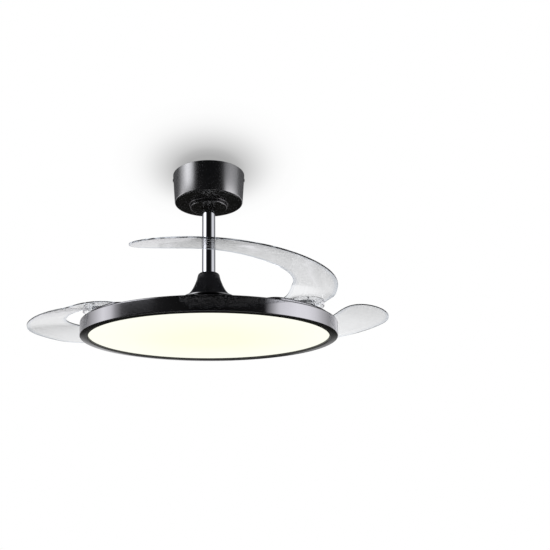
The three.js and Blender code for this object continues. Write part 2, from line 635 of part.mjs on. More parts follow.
function bladeCarrier() {
  const discBottom = carrierTop - CARRIER_DISC_THICKNESS;
  const web = ring(CARRIER_HOLE_RADIUS, CARRIER_DISC_RADIUS, discBottom, carrierTop, MEDIUM_STEPS);
  const shoe = new THREE.Shape();
  const inner = PIVOT_RADIUS - SHOE_REACH_IN;
  const outer = PIVOT_RADIUS + SHOE_REACH_OUT;
  const middle = (inner + outer) / 2;
  const round = (outer - inner) / 2;
  const half = rad(SHOE_HALF_ANGLE);
  shoe.absarc(0, 0, outer, -half, half, false);
  shoe.absarc(middle * Math.cos(half), middle * Math.sin(half), round, half, half + Math.PI, false);
  shoe.absarc(0, 0, inner, half, -half, true);
  shoe.absarc(middle * Math.cos(half), -middle * Math.sin(half), round, Math.PI - half,
    2 * Math.PI - half, false);
  const neckInner = CARRIER_DISC_RADIUS - SHOE_NECK_OVERLAP;
  const neckLength = middle - neckInner;
  const pieces = [web];
  const holes = screwHoles(CARRIER_SCREW_CIRCLE, carrierTop);
  BLADES.forEach((_, i) => {
    const angle = FIRST_PIVOT_ANGLE + 120 * i;
    const neck = box([neckLength, SHOE_NECK_WIDTH, SHOE_THICKNESS],
      [neckInner + neckLength / 2, 0, (shoeBottom + carrierTop) / 2]);
    pieces.push(turnedBy(plate(shoe, shoeBottom, carrierTop, 8), angle), turnedBy(neck, angle));
    const spigot = disc(POST_SPIGOT_RADIUS + HOLE_PLAY, shoeBottom - 5, carrierTop + 5, SMALL_STEPS);
    holes.push(turnedBy(spigot.translate(PIVOT_RADIUS, 0, 0), angle));
  });
  return cut(join(...pieces), ...holes);
}

add(rotor, 'blade_carrier', bladeCarrier(), satinBlack);
[0, 1, 2].forEach((i) => {
  const [x, y] = polar(CARRIER_SCREW_CIRCLE, screwAngle(i));
  const geometry = screw(CARRIER_DISC_THICKNESS + MOTOR_WALL - 1).rotateX(Math.PI)
    .translate(x, y, carrierTop - CARRIER_DISC_THICKNESS);
  add(rotor, `carrier_screw_${i + 1}`, geometry, steel);
});

// ---------------------------------------------------------------- blades

const stationCurve = (column) => {
  const points = BLADE_STATIONS.map((s) => new THREE.Vector2(s[0], s[column]));
  return new THREE.SplineCurve(points);
};
const inwardCurve = stationCurve(1);
const widthCurve = stationCurve(2);

// The value of a station curve at an angle round the axis.
function atAngle(curve, angle) {
  let low = 0;
  let high = 1;
  for (let i = 0; i < 24; i += 1) {
    const middle = (low + high) / 2;
    if (curve.getPoint(middle).x > angle) low = middle;
    else high = middle;
  }
  return curve.getPoint(low).y;
}

// How far a rounded end draws the width in, at a distance from that end.
const rounded = (distance, length) =>
  distance >= length ? 1 : Math.sqrt(Math.max(0, 1 - (1 - distance / length) ** 2));

// Height of the sheet's middle over a point of the folded blade.
function sheetHeight(x, y) {
  const radius = Math.hypot(x, y);
  const angle = THREE.MathUtils.radToDeg(Math.atan2(y, x));
  const inwards = PIVOT_RADIUS + EDGE_REACH - radius;
  const rise = TIP_RISE * smooth((TIP_RISE_START - angle) / (TIP_RISE_START - TIP_RISE_END));
  const camber = inwards ** 2 / (2 * CAMBER_RADIUS);
  const pitched = rootMiddle - EDGE_DROP + PITCH_SLOPE * inwards - camber + rise;
  const reach = Math.hypot(x - PIVOT_RADIUS, y);
  const blend = smooth((reach - ROOT_FLAT_RADIUS) / (ROOT_BLEND_RADIUS - ROOT_FLAT_RADIUS));
  return THREE.MathUtils.lerp(rootMiddle, pitched, blend);
}

// The sheet, with u round its thin section and v from the root to the tip.
const ACROSS = 5;
const ALONG = 25;

function bladeSheet() {
  const arc = rad(ROOT_END_ANGLE - TIP_END_ANGLE) * PIVOT_RADIUS;
  const surface = (u, v, target) => {
    const share = (1 - Math.cos(Math.PI * v)) / 2;
    const angle = THREE.MathUtils.lerp(ROOT_END_ANGLE, TIP_END_ANGLE, share);
    const ends = rounded(share * arc, ROOT_ROUND) * rounded((1 - share) * arc, TIP_ROUND);
    const half = v <= 0 || v >= 1 ? 0 : atAngle(widthCurve, angle) / 2 * ends;
    const step = Math.round(u * 2 * (ACROSS + 1)) % (2 * (ACROSS + 1));
    const under = step > ACROSS;
    const across = under ? 2 * ACROSS + 1 - step : step;
    const side = 2 * across / ACROSS - 1;
    const radius = PIVOT_RADIUS - atAngle(inwardCurve, angle) + side * half;
    const [x, y] = polar(radius, angle);
    const edge = THREE.MathUtils.lerp(BLADE_THICKNESS, BLADE_EDGE_THICKNESS, side ** 4) / 2;
    target.set(x - PIVOT_RADIUS, y, sheetHeight(x, y) + (under ? -edge : edge));
  };
  return new ParametricGeometry(surface, 2 * (ACROSS + 1), ALONG);
}

// The stop pin stands beside the pivot and travels between two of the collar's ribs.
const STOP_PIN_ANGLE = 90;

function ribAngles() {
  const touch = STOP_PIN_RADIUS + RIB_THICKNESS / 2 + FIT;
  const margin = THREE.MathUtils.radToDeg(Math.asin(touch / STOP_PIN_CIRCLE));
  const foldStop = STOP_PIN_ANGLE + margin;
  const openStop = STOP_PIN_ANGLE - OPEN_ANGLE - margin;
  const rest = 360 - (foldStop - openStop);
  const angles = [openStop];
  for (let i = 0; i <= SPARE_RIBS; i += 1) angles.push(foldStop + rest * i / (SPARE_RIBS + 1));
  return angles;
}

function blade() {
  const pieces = [bladeSheet()];
  pieces.push(ring(COLLAR_RADIUS - COLLAR_WALL, COLLAR_RADIUS, collarBottom, rootMiddle,
    ROUND_STEPS));
  pieces.push(disc(HUB_RADIUS, collarBottom, rootMiddle, SMALL_STEPS));
  const length = COLLAR_RADIUS - COLLAR_WALL / 2 - RIB_INNER_RADIUS;
  for (const angle of ribAngles()) {
    const rib = box([length, RIB_THICKNESS, rootMiddle - collarBottom - 1],
      [RIB_INNER_RADIUS + length / 2, 0, (rootMiddle + collarBottom + 1) / 2]);
    pieces.push(turnedBy(rib, angle));
  }
  const bore = POST_RADIUS + BUSHING_WALL + 2 * FIT;
  return cut(join(...pieces), disc(bore, collarBottom - 5, rootTop + 5, SMALL_STEPS),
    disc(PIVOT_HEAD_RADIUS + 3 * FIT, hubTop, rootTop + 5, SMALL_STEPS));
}

function pivotPost() {
  const bore = PIVOT_THREAD_RADIUS + FIT;
  const floor = headBottom - PIVOT_THREAD_LENGTH - 1;
  return turned([
    [0, shoeBottom], [POST_SPIGOT_RADIUS, shoeBottom], [POST_SPIGOT_RADIUS, carrierTop],
    [POST_RADIUS, carrierTop], [POST_RADIUS, hubTop], [bore, hubTop], [bore, floor], [0, floor],
  ], SMALL_STEPS);
}

function pivotScrew() {
  return turned([
    [0, headBottom - PIVOT_THREAD_LENGTH], [PIVOT_THREAD_RADIUS, headBottom - PIVOT_THREAD_LENGTH],
    [PIVOT_THREAD_RADIUS, headBottom], [PIVOT_HEAD_RADIUS, headBottom],
    [PIVOT_HEAD_RADIUS, headTop - 1], [PIVOT_HEAD_RADIUS - 1, headTop], [0, headTop],
  ], SMALL_STEPS);
}

const springInner = HUB_RADIUS + FIT;
const stopPinX = PIVOT_RADIUS + STOP_PIN_CIRCLE * Math.cos(rad(STOP_PIN_ANGLE));
const stopPinY = STOP_PIN_CIRCLE * Math.sin(rad(STOP_PIN_ANGLE));

BLADES.forEach((id, i) => {
  const pivot = new THREE.Group();
  pivot.rotation.z = rad(FIRST_PIVOT_ANGLE + 120 * i);
  rotor.add(pivot);
  const atPivot = (geometry) => geometry.translate(PIVOT_RADIUS, 0, 0);
  add(pivot, `pivot_post_${id}`, atPivot(pivotPost()), steel);
  add(pivot, `pivot_screw_${id}`, atPivot(pivotScrew()), steel);
  add(pivot, `thrust_washer_${id}`, atPivot(ring(POST_RADIUS + FIT, WASHER_RADIUS, carrierTop,
    washerTop, SMALL_STEPS)), whitePlastic);
  add(pivot, `stop_pin_${id}`, disc(STOP_PIN_RADIUS, carrierTop, carrierTop + STOP_PIN_HEIGHT,
    SCREW_STEPS).translate(stopPinX, stopPinY, 0), blackPlastic);

  const swing = new THREE.Group();
  swing.position.x = PIVOT_RADIUS;
  swing.rotation.z = rad(REST_ANGLES[id]);
  pivot.add(swing);
  add(swing, `blade_${id}`, blade(), clear);
  add(swing, `bushing_${id}`, ring(POST_RADIUS + FIT, POST_RADIUS + FIT + BUSHING_WALL,
    collarBottom, hubTop, SMALL_STEPS), brass);
  add(swing, `return_spring_${id}`, ring(springInner, springInner + SPRING_WALL,
    collarBottom + FIT, rootBottom - FIT, SMALL_STEPS), steel);
});

// ---------------------------------------------------------------- lamp

function lampRim() {
  const e = RIM_EDGE;
  const r = LAMP_RADIUS;
  return turned([
    [r - RIM_LIP_WIDTH, lampBottom], [r - e, lampBottom], [r, lampBottom + e], [r, lampTop - e],
    [r - e, lampTop], [r - RIM_TOP_FLANGE, lampTop], [r - RIM_TOP_FLANGE, panTop],
    [r - RIM_WALL, panTop], [r - RIM_WALL, lipTop], [r - RIM_LIP_WIDTH, lipTop],
  ], LARGE_STEPS);
}

function lampPan() {
  const pan = ring(SHAFT_RADIUS + FIT, LAMP_RADIUS - RIM_WALL - FIT, panBottom, panTop, LARGE_STEPS);
  return cut(pan, ...screwHoles(LAMP_SCREW_CIRCLE, panTop));
}

function lampFlange() {
  const flange = ring(SHAFT_RADIUS + FIT, FLANGE_RADIUS, panTop, flangeTop);
  return cut(flange, ...screwHoles(LAMP_SCREW_CIRCLE, panTop));
}

function lampNut() {
  const outline = new THREE.Shape();
  for (let i = 0; i < 6; i += 1) {
    const [x, y] = polar(NUT_RADIUS, 60 * i);
    if (i === 0) outline.moveTo(x, y);
    else outline.lineTo(x, y);
  }
  const bore = disc(SHAFT_RADIUS + FIT, nutBottom - 1, panBottom + 1, SMALL_STEPS);
  return cut(plate(outline, nutBottom, panBottom), bore);
}

function ledBoard() {
  const bottom = panBottom - LED_BOARD_THICKNESS;
  const outer = LAMP_RADIUS - RIM_WALL - LED_BOARD_MARGIN;
  const pieces = [ring(LED_BOARD_INNER_RADIUS, outer, bottom, panBottom, MEDIUM_STEPS)];
  for (const radius of LED_ROWS) {
    for (let i = 0; i < LEDS_PER_ROW; i += 1) {
      const led = box([LED_SIZE[0], LED_SIZE[1], LED_SIZE[2] + 1],
        [radius, 0, bottom - (LED_SIZE[2] - 1) / 2]);
      pieces.push(turnedBy(led, 360 * (i + 0.5) / LEDS_PER_ROW));
    }
  }
  return join(...pieces);
}

add(fan, 'lamp_flange', lampFlange(), steel);
add(fan, 'lamp_pan', lampPan(), satinBlack);
add(fan, 'lamp_nut', lampNut(), steel);
[0, 1, 2].forEach((i) => {
  const [x, y] = polar(LAMP_SCREW_CIRCLE, screwAngle(i));
  const geometry = screw(PAN_THICKNESS + FLANGE_THICKNESS - 0.4).rotateX(Math.PI)
    .translate(x, y, panBottom);
  add(fan, `lamp_screw_${i + 1}`, geometry, steel);
});
add(fan, 'lamp_rim', lampRim(), satinBlack);
add(fan, 'led_board', ledBoard(), boardWhite);
add(fan, 'led_driver', box(DRIVER_SIZE, [0, DRIVER_OFFSET, panBottom - DRIVER_SIZE[2] / 2]),
  whitePlastic);
add(fan, 'diffuser', disc(LAMP_RADIUS - RIM_WALL - DIFFUSER_PLAY, lipTop,
  lipTop + DIFFUSER_THICKNESS, LARGE_STEPS), glowing);

export default fan;
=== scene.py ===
"""Dresses the retractable blade ceiling fan: smooth pieces, finishes and the studio.

Metres, +Z up. The origin is on the fan's axis in the ceiling plane, the fan hangs below
it, and -Y is the front.
"""

import math

import bpy
from mathutils import Matrix, Vector


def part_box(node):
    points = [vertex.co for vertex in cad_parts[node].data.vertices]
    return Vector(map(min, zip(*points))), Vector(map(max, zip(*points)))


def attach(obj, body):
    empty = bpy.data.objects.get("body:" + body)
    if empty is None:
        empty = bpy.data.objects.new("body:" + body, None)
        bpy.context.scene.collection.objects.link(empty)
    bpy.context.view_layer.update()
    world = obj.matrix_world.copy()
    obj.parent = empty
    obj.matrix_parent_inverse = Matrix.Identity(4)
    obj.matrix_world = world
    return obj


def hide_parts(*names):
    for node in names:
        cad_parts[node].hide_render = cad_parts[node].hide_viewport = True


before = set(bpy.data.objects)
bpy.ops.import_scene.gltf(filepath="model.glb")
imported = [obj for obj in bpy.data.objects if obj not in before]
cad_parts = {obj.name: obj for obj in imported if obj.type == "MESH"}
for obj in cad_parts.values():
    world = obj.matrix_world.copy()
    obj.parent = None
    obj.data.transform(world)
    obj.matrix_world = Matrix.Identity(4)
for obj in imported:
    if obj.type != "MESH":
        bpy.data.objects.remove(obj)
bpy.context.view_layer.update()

bl_info = {
    "name": "Retractable Blade Ceiling Fan",
    "version": (1, 0, 0),
    "blender": (4, 5, 0),
    "location": "View3D > Sidebar > Ceiling Fan",
    "description": "Smooth pieces, finishes and a studio for the packed ceiling fan",
    "category": "Object",
}

MM = 0.001
LARGE_STEPS, MEDIUM_STEPS, SMALL_STEPS = 192, 96, 48
DRILL_STEPS = 32
BLADE_IDS = ("a", "b", "c")
ROD_PLAY = 0.6 * MM          # round the rod, in the canopy and the cover
EDGE = 0.4 * MM              # a small chamfer
BEARING_SEAT, BEARING_COLLAR = 16.3 * MM, 20 * MM
BEARING_DEPTH = 10.3 * MM


def low(node):
    """The height of a CAD node's lowest point."""
    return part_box(node)[0].z


def high(node):
    """The height of a CAD node's highest point."""
    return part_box(node)[1].z


# ---------------------------------------------------------------- settings


def number(name, description, default, **limits):
    """A plain number."""
    return bpy.props.FloatProperty(
        name=name, description=description, default=default, **limits)


def length(name, description, default):
    """A length, in metres."""
    return number(name, description, default, min=0, unit="LENGTH", precision=4)


def factor(name, description, default):
    """A number from 0 to 1."""
    return number(name, description, default, min=0, max=1, subtype="FACTOR")


def colour(name, description, red, green, blue):
    """A colour."""
    return bpy.props.FloatVectorProperty(
        name=name, description=description, default=(red, green, blue, 1), size=4,
        min=0, max=1, subtype="COLOR",
    )


class FanSizes(bpy.types.PropertyGroup):
    """Sizes of the fan's pieces."""

    bracket_radius: length("Bracket radius", "The ceiling plate's radius", 0.052)
    ball_radius: length("Ball radius", "The hanger ball's radius", 0.022)
    rod_radius: length("Rod radius", "The downrod's outer radius", 0.0134)
    rod_wall: length("Rod wall", "Thickness of the downrod's tube", 0.0016)
    canopy_top_radius: length("Canopy top", "The canopy's radius at the ceiling", 0.0745)
    canopy_bottom_radius: length("Canopy bottom", "The canopy's radius below", 0.0702)
    canopy_wall: length("Canopy wall", "Thickness of the canopy's metal", 0.0015)
    canopy_edge: length("Canopy edge", "Radius of the canopy's lower edge", 0.003)
    screw_depth: length("Screw depth", "From the ceiling to the canopy's screws", 0.010)
    trim_radius: length("Trim radius", "The disc under the canopy", 0.040)
    trim_height: length("Trim height", "Thickness of that disc", 0.0035)
    trim_step_radius: length("Trim step", "The narrower step under the disc", 0.0376)
    trim_round: length("Trim round", "Radius of the trim's edges", 0.0016)
    cover_neck: length("Cover neck", "The coupling cover's radius at its top", 0.0162)
    cover_shoulder: length("Cover shoulder", "Its radius where the flare begins", 0.0232)
    cover_skirt: length("Cover skirt", "Its radius at the end of the flare", 0.0462)
    cover_foot: length("Cover foot", "Radius of its flat base ring", 0.0512)
    cover_wall: length("Cover wall", "Thickness of its metal", 0.002)
    motor_radius: length("Motor radius", "The motor shell's radius", 0.097)
    motor_wall: length("Motor wall", "Thickness of the motor shell", 0.003)
    carrier_radius: length("Carrier radius", "The blade carrier's disc", 0.176)
    pivot_circle: length("Pivot circle", "From the fan's axis to a blade's pivot", 0.2137)
    collar_radius: length("Collar radius", "The clear collar under a blade's root", 0.033)
    collar_wall: length("Collar wall", "Thickness of the clear collar", 0.003)
    hub_radius: length("Hub radius", "The clear hub round a blade's pivot", 0.014)
    sheet_height: length("Sheet height", "From a collar's foot to the sheet's middle", 0.0122)
    blade_thickness: length("Blade thickness", "Of the clear sheet", 0.002)
    lamp_radius: length("Lamp radius", "The lamp rim's outer radius", 0.2465)
    rim_edge: length("Rim edge", "Radius of the rim's rounded edges", 0.0012)
    rim_draft: length("Rim draft", "How much wider the rim is at its top", 0.0006)
    lip_width: length("Lip width", "The rim's inward lip round the light", 0.0148)
    light_recess: length("Light recess", "How far inside the rim the light's face sits",
                         0.0012)


class FanFinishes(bpy.types.PropertyGroup):
    """Colours and gloss of the fan's finishes."""

    paint: colour("Satin black", "Paint of the canopy and the covers", 0.004, 0.0042, 0.005)
    paint_roughness: factor("Paint roughness", "Gloss of the satin paint", 0.2)
    rim: colour("Rim black", "Coating of the motor and the lamp's rim", 0.2, 0.2, 0.208)
    rim_roughness: factor("Rim roughness", "Gloss of the rim's coating", 0.09)
    chrome: colour("Chrome", "The downrod", 0.66, 0.67, 0.69)
    clear: colour("Clear plastic", "Tint of the blades", 0.955, 0.96, 0.97)
    # painted shade: this colour darkens the blades' edges and bead, standing in for the dark
    # lines that clear plastic shows there
    clear_edge_shade: colour("Clear edge", "Tint along the blades' edges", 0.7, 0.74, 0.8)
    light_middle: colour("Light middle", "The lamp's glow in the middle", 1.0, 0.99, 0.76)
    light_edge: colour("Light edge", "The lamp's glow near the rim", 0.98, 0.985, 0.87)


class FanStudio(bpy.types.PropertyGroup):
    """Camera and light."""

    camera_distance: length("Camera distance", "In front of the fan's axis", 1.2131)
    camera_depth: length("Camera depth", "Below the ceiling", 0.5843)
    camera_pitch: number("Camera pitch", "Upwards from level", math.radians(16.68),
                         subtype="ANGLE")
    camera_shift: number("Camera shift", "Keeps the fan left of the middle", 0.1205)
    camera_rise: number("Camera rise", "Moves the view up", 0.0036)
    lens: number("Lens", "Focal length in millimetres", 41.47, min=1)
    floor_depth: length("Floor depth", "Below the ceiling", 2.6)
    reflected_light: number("Reflected light", "Brightness of the soft boxes in reflections",
                            6.4, min=0)
    fill_light: number("Fill light", "Even light from all round", 0.55, min=0)


# ---------------------------------------------------------------- modelling


def start():
    """Leaves edit mode and deselects everything."""
    if bpy.context.mode != "OBJECT":
        bpy.ops.object.mode_set(mode="OBJECT")
    bpy.ops.object.select_all(action="DESELECT")


def only(piece):
    """Selects one piece alone and makes it active."""
    start()
    piece.select_set(True)
    bpy.context.view_layer.objects.active = piece


def named(name):
    """Names the primitive that was just added."""
    piece = bpy.context.object
    piece.name = piece.data.name = name
    return piece


def settle(piece):
    """Puts a piece's place, turn and size into its mesh."""
    only(piece)
    bpy.ops.object.transform_apply(location=True, rotation=True, scale=True)
    return piece


def shift(x=0, y=0, z=0):
    """A move."""
    return Matrix.Translation((x, y, z))


def turn(degrees, axis="Z"):
    """A turn round an axis."""
    return Matrix.Rotation(math.radians(degrees), 4, axis)


def moved(piece, matrix):
    """Moves a piece, and puts its place into its mesh."""
    piece.matrix_world = matrix
    return settle(piece)


def edited(piece, *steps):
    """Runs each step on a piece's whole mesh in edit mode."""
    only(piece)
    bpy.ops.object.mode_set(mode="EDIT")
    for step in steps:
        bpy.ops.mesh.select_all(action="SELECT")
        step()
    bpy.ops.object.mode_set(mode="OBJECT")
    return piece


def weld(distance):
    """A step that merges points closer than a distance."""
    return lambda: bpy.ops.mesh.remove_doubles(threshold=distance)


def outwards():
    """A step that turns all faces outwards."""
    bpy.ops.mesh.normals_make_consistent(inside=False)


def turned(name, outline, steps=MEDIUM_STEPS):
    """Turns an outline of (radius, height) points round the Z axis.

    An outline that begins on the axis stays open there; any other closes to a ring.
    """
    solid = outline[0][0] == 0
    points = outline[1:] if solid else outline + outline[:1]
    start()
    bpy.ops.mesh.primitive_circle_add(
        vertices=steps, radius=points[0][0], fill_type="NGON" if solid else "NOTHING",
        location=(0, 0, points[0][1]))
    piece = settle(named(name))

    def draw_out():
        radius, height = points[0]
        for next_radius, next_height in points[1:]:
            bpy.ops.mesh.extrude_edges_move(
                TRANSFORM_OT_translate={"value": (0, 0, next_height - height)})
            scale = next_radius / radius
            bpy.ops.transform.resize(
                value=(scale, scale, 1), center_override=(0, 0, next_height))
            radius, height = next_radius or radius, next_height

    return edited(piece, draw_out, weld(1e-6), outwards)


def peg(name, radius, foot, top, steps=DRILL_STEPS):
    """A plain round peg between two heights."""
    return turned(name, [(0, foot), (radius, foot), (radius, top), (0, top)], steps)


def band(inner, outer, foot, top, edge):
    """The outline of a ring with chamfered outer edges."""
    return [(inner, foot), (outer - edge, foot), (outer, foot + edge), (outer, top - edge),
            (outer - edge, top), (inner, top)]


def cut_plate(name, points, bottom, top):
    """A flat plate with the given outline, between two heights."""
    start()
    bpy.ops.mesh.primitive_circle_add(vertices=len(points), radius=1, location=(0, 0, 0))
    piece = named(name)
    for vertex, (x, y) in zip(piece.data.vertices, points):
        vertex.co = (x, y, bottom)

    def thicken():
        bpy.ops.mesh.edge_face_add()
        bpy.ops.mesh.extrude_region_move(
            TRANSFORM_OT_translate={"value": (0, 0, top - bottom)})

    return edited(piece, thicken, outwards)


def block(name, size, centre):
    """A block of a size at a place, to be cut or rounded."""
    start()
    bpy.ops.mesh.primitive_cube_add(size=1, location=centre)
    piece = named(name)
    piece.scale = size
    return settle(piece)


def applied(piece, kind, **settings):
    """Adds a modifier and applies it."""
    only(piece)
    modifier = piece.modifiers.new(kind.title(), kind)
    for key, value in settings.items():
        setattr(modifier, key, value)
    bpy.ops.object.modifier_apply(modifier=modifier.name)
    return piece


def combine(piece, tool, operation):
    """Joins a tool's solid to a piece, or cuts it away, and removes the tool."""
    applied(piece, "BOOLEAN", object=tool, operation=operation, solver="EXACT")
    bpy.data.objects.remove(tool)


def cut(piece, tool):
    """Cuts a tool's solid away from a piece."""
    combine(piece, tool, "DIFFERENCE")


def joined(name, pieces):
    """Makes one piece of several."""
    start()
    for piece in pieces:
        piece.select_set(True)
    bpy.context.view_layer.objects.active = pieces[0]
    bpy.ops.object.join()
    return named(name)


def soften(piece, width, segments=3, degrees=28):
    """Rounds the sharp edges."""
    return applied(piece, "BEVEL", width=width, segments=segments, limit_method="ANGLE",
                   angle_limit=math.radians(degrees))


def smooth(piece, degrees=32):
    """Shades a piece smooth, and keeps its sharp edges."""
    only(piece)
    bpy.ops.object.shade_smooth_by_angle(angle=math.radians(degrees))
    return piece


def placed(piece, name, matrix):
    """A copy of a piece with its own mesh, at another place."""
    only(piece)
    bpy.ops.object.duplicate(linked=False)
    return moved(named(name), matrix)


def arc(centre, radius, first, last, steps):
    """Points of an arc, as (across, up), from one angle to another in degrees."""
    points = []
    for i in range(steps + 1):
        angle = math.radians(first + (last - first) * i / steps)
        points.append((centre[0] + radius * math.cos(angle),
                       centre[1] + radius * math.sin(angle)))
    return points


# ---------------------------------------------------------------- shader nodes


def plug(tree, node, inputs):
    """Sets a node's inputs, or links them where the value is another node's output."""
    for key, value in inputs.items():
        if isinstance(value, bpy.types.NodeSocket):
            tree.links.new(value, node.inputs[key])
        else:
            node.inputs[key].default_value = value
    return node


def add_node(tree, kind, inputs=None, **settings):
    """A shader node with its settings, and its inputs set or linked."""
    node = tree.nodes.new(f"ShaderNode{kind}")
    for key, value in settings.items():
        setattr(node, key, value)
    return plug(tree, node, inputs or {})


def calc(tree, operation, *values):
    """What a Math node makes of its values."""
    return add_node(tree, "Math", dict(enumerate(values)), operation=operation).outputs[0]


def remap(tree, value, first, last, new_first=0.0, new_last=1.0):
    """A value whose range is turned into another."""
    return add_node(tree, "MapRange", {
        "Value": value, "From Min": first, "From Max": last,
        "To Min": new_first, "To Max": new_last}).outputs[0]


def mixed(tree, share, first, second):
    """A mix of two colours."""
    return add_node(tree, "Mix", {"Factor": share, 6: first, 7: second},
                    data_type="RGBA").outputs[2]


def scaled(tree, vector, share):
    """A vector or colour times a number."""
    return add_node(tree, "VectorMath", {0: vector, "Scale": share},
                    operation="SCALE").outputs[0]


def noise(tree, place, scale, detail, **more):
    """The level of a noise texture."""
    return add_node(tree, "TexNoise", {"Vector": place, "Scale": scale, "Detail": detail, **{
        key.title(): value for key, value in more.items()}}).outputs["Fac"]


def mapped(tree, place, **changes):
    """Coordinates that are moved or scaled."""
    return add_node(tree, "Mapping", {"Vector": place, **{
        key.title(): value for key, value in changes.items()}}).outputs[0]


def distance(tree, vector):
    """The length of a vector."""
    return add_node(tree, "VectorMath", {0: vector}, operation="LENGTH").outputs["Value"]


def bump(tree, strength, depth, height):
    """The normals of a relief."""
    return add_node(tree, "Bump", {
        "Strength": strength, "Distance": depth, "Height": height}).outputs[0]


def attribute(tree, name):
    """A named attribute of the mesh."""
    return add_node(tree, "Attribute", attribute_name=name).outputs


def mix_shader(tree, share, first, second):
    """A mix of two shaders."""
    return add_node(tree, "MixShader", {
        0: share, 1: first.outputs[0], 2: second.outputs[0]})


def ramp(tree, value, stops, tint=(1, 1, 1)):
    """A ramp of levels of one tint: (place, level) stops."""
    node = add_node(tree, "ValToRGB", {"Fac": value})
    elements = node.color_ramp.elements
    while len(elements) > 1:
        elements.remove(elements[-1])
    for i, (place, level) in enumerate(stops):
        element = elements[0] if i == 0 else elements.new(place)
        element.position = place
        element.color = (*(level * part for part in tint), 1)
    return node.outputs[0]


# ---------------------------------------------------------------- finishes

# What each finish with a grain differs in. A word names a setting of FanFinishes, and a
# stretched grain gives brushed, stacked or wound metal
FINISHES = {
    "satin_black_paint": dict(paint="paint", roughness="paint_roughness", grain=1400.0,
                              relief=0.05, specular=1.0, ior=2.0),
    "rim_black_coating": dict(paint="rim", roughness="rim_roughness", metallic=1.0,
                              grain=1200.0, rough_change=0.04, colour_change=0.1),
    "chrome_plate": dict(paint="chrome", roughness=0.05, metallic=1.0, stretch=(1, 1, 0.05),
                         grain=300.0, relief=0.01, rough_change=0.03, colour_change=0.03),
    "zinc_steel": dict(paint=(0.55, 0.56, 0.57, 1), roughness=0.34, metallic=1.0,
                       stretch=(1, 6, 1), grain=260.0, relief=0.15, rough_change=0.12),
    "laminated_steel": dict(paint=(0.32, 0.33, 0.35, 1), roughness=0.45, metallic=1.0,
                            stretch=(0.02, 0.02, 1), grain=2400.0, relief=0.5, depth=0.0003),
    "copper_winding": dict(paint=(0.55, 0.20, 0.07, 1), roughness=0.3, metallic=1.0,
                           stretch=(1, 1, 3), grain=700.0, relief=0.6, depth=0.0004),
    "sintered_bronze": dict(paint=(0.50, 0.33, 0.14, 1), roughness=0.42, metallic=1.0,
                            grain=1800.0, relief=0.25, depth=0.00008),
    "magnet_ferrite": dict(paint=(0.035, 0.036, 0.04, 1), roughness=0.6, relief=0.2),
    "black_moulding": dict(paint=(0.018, 0.018, 0.019, 1), roughness=0.5, grain=1100.0,
                           relief=0.25, depth=0.0001),
    "white_moulding": dict(paint=(0.78, 0.78, 0.76, 1), roughness=0.42, grain=600.0,
                           relief=0.08, colour_change=0.05),
    "board_lacquer": dict(paint=(0.82, 0.83, 0.80, 1), roughness=0.55, grain=1500.0,
                          relief=0.15, colour_change=0.06),
}
# the moulded bead along a blade's edges, drawn as a painted dark line of shade: its place and
# half width, as shares of half the blade, and its painted shade's share of the edge's
BEAD_PLACE, BEAD_WIDTH, BEAD_SHADE = 0.885, 0.012, 0.55
# painted shade: the facing levels at which a blade's border begins to darken, and is dark, as
# it slants from view
GRAZING = (0.6, 0.72)        # where a blade's border begins to darken, and is dark


def finish_grain():
    """The shared group of grain and colour variation of a painted, cast or drawn surface."""
    name = "Finish Grain"
    if name in bpy.data.node_groups:
        return bpy.data.node_groups[name]
    tree = bpy.data.node_groups.new(name, "ShaderNodeTree")
    for label, kind, value, way in (
        ("Vector", "Vector", None, "INPUT"), ("Color", "Color", (0.5, 0.5, 0.5, 1), "INPUT"),
        ("Roughness", "Float", 0.4, "INPUT"), ("Grain Scale", "Float", 900.0, "INPUT"),
        ("Roughness Change", "Float", 0.06, "INPUT"), ("Colour Change", "Float", 0.15, "INPUT"),
        ("Color", "Color", None, "OUTPUT"), ("Roughness", "Float", None, "OUTPUT"),
        ("Height", "Float", None, "OUTPUT"),
    ):
        socket = tree.interface.new_socket(
            name=label, in_out=way, socket_type=f"NodeSocket{kind}")
        if value is not None:
            socket.default_value = value
    inside = tree.nodes.new("NodeGroupInput").outputs
    cloud = noise(tree, inside["Vector"], 28.0, 4.0, roughness=0.6)
    swing = calc(tree, "SUBTRACT", cloud, 0.5)
    shade = calc(tree, "MULTIPLY_ADD", swing, inside["Colour Change"], 1.0)
    plug(tree, tree.nodes.new("NodeGroupOutput"), {
        "Color": scaled(tree, inside["Color"], shade),
        "Roughness": calc(
            tree, "MULTIPLY_ADD", swing, inside["Roughness Change"], inside["Roughness"]),
        "Height": noise(tree, inside["Vector"], inside["Grain Scale"], 3.0),
    })
    return tree


def material(name):
    """A new node material: its tree, its Principled shader and its Object coordinates."""
    made = bpy.data.materials.new(name)
    made.use_nodes = True
    tree = made.node_tree
    place = add_node(tree, "TexCoord").outputs["Object"]
    return made, tree, tree.nodes["Principled BSDF"], place


def grained(name, paint, roughness, metallic=0.0, stretch=(1, 1, 1), grain=900.0,
            relief=0.03, depth=0.00004, rough_change=0.06, colour_change=0.15, specular=0.5,
            ior=1.5):
    """A finish with grain and slight variation."""
    made, tree, shader, place = material(name)
    group = add_node(tree, "Group", {
        "Vector": mapped(tree, place, scale=stretch), "Color": paint, "Roughness": roughness,
        "Grain Scale": grain, "Roughness Change": rough_change,
        "Colour Change": colour_change}, node_tree=finish_grain()).outputs
    plug(tree, shader, {
        "Base Color": group["Color"], "Roughness": group["Roughness"],
        "Normal": bump(tree, relief, depth, group["Height"]), "Metallic": metallic,
        "Specular IOR Level": specular, "IOR": ior})
    return made


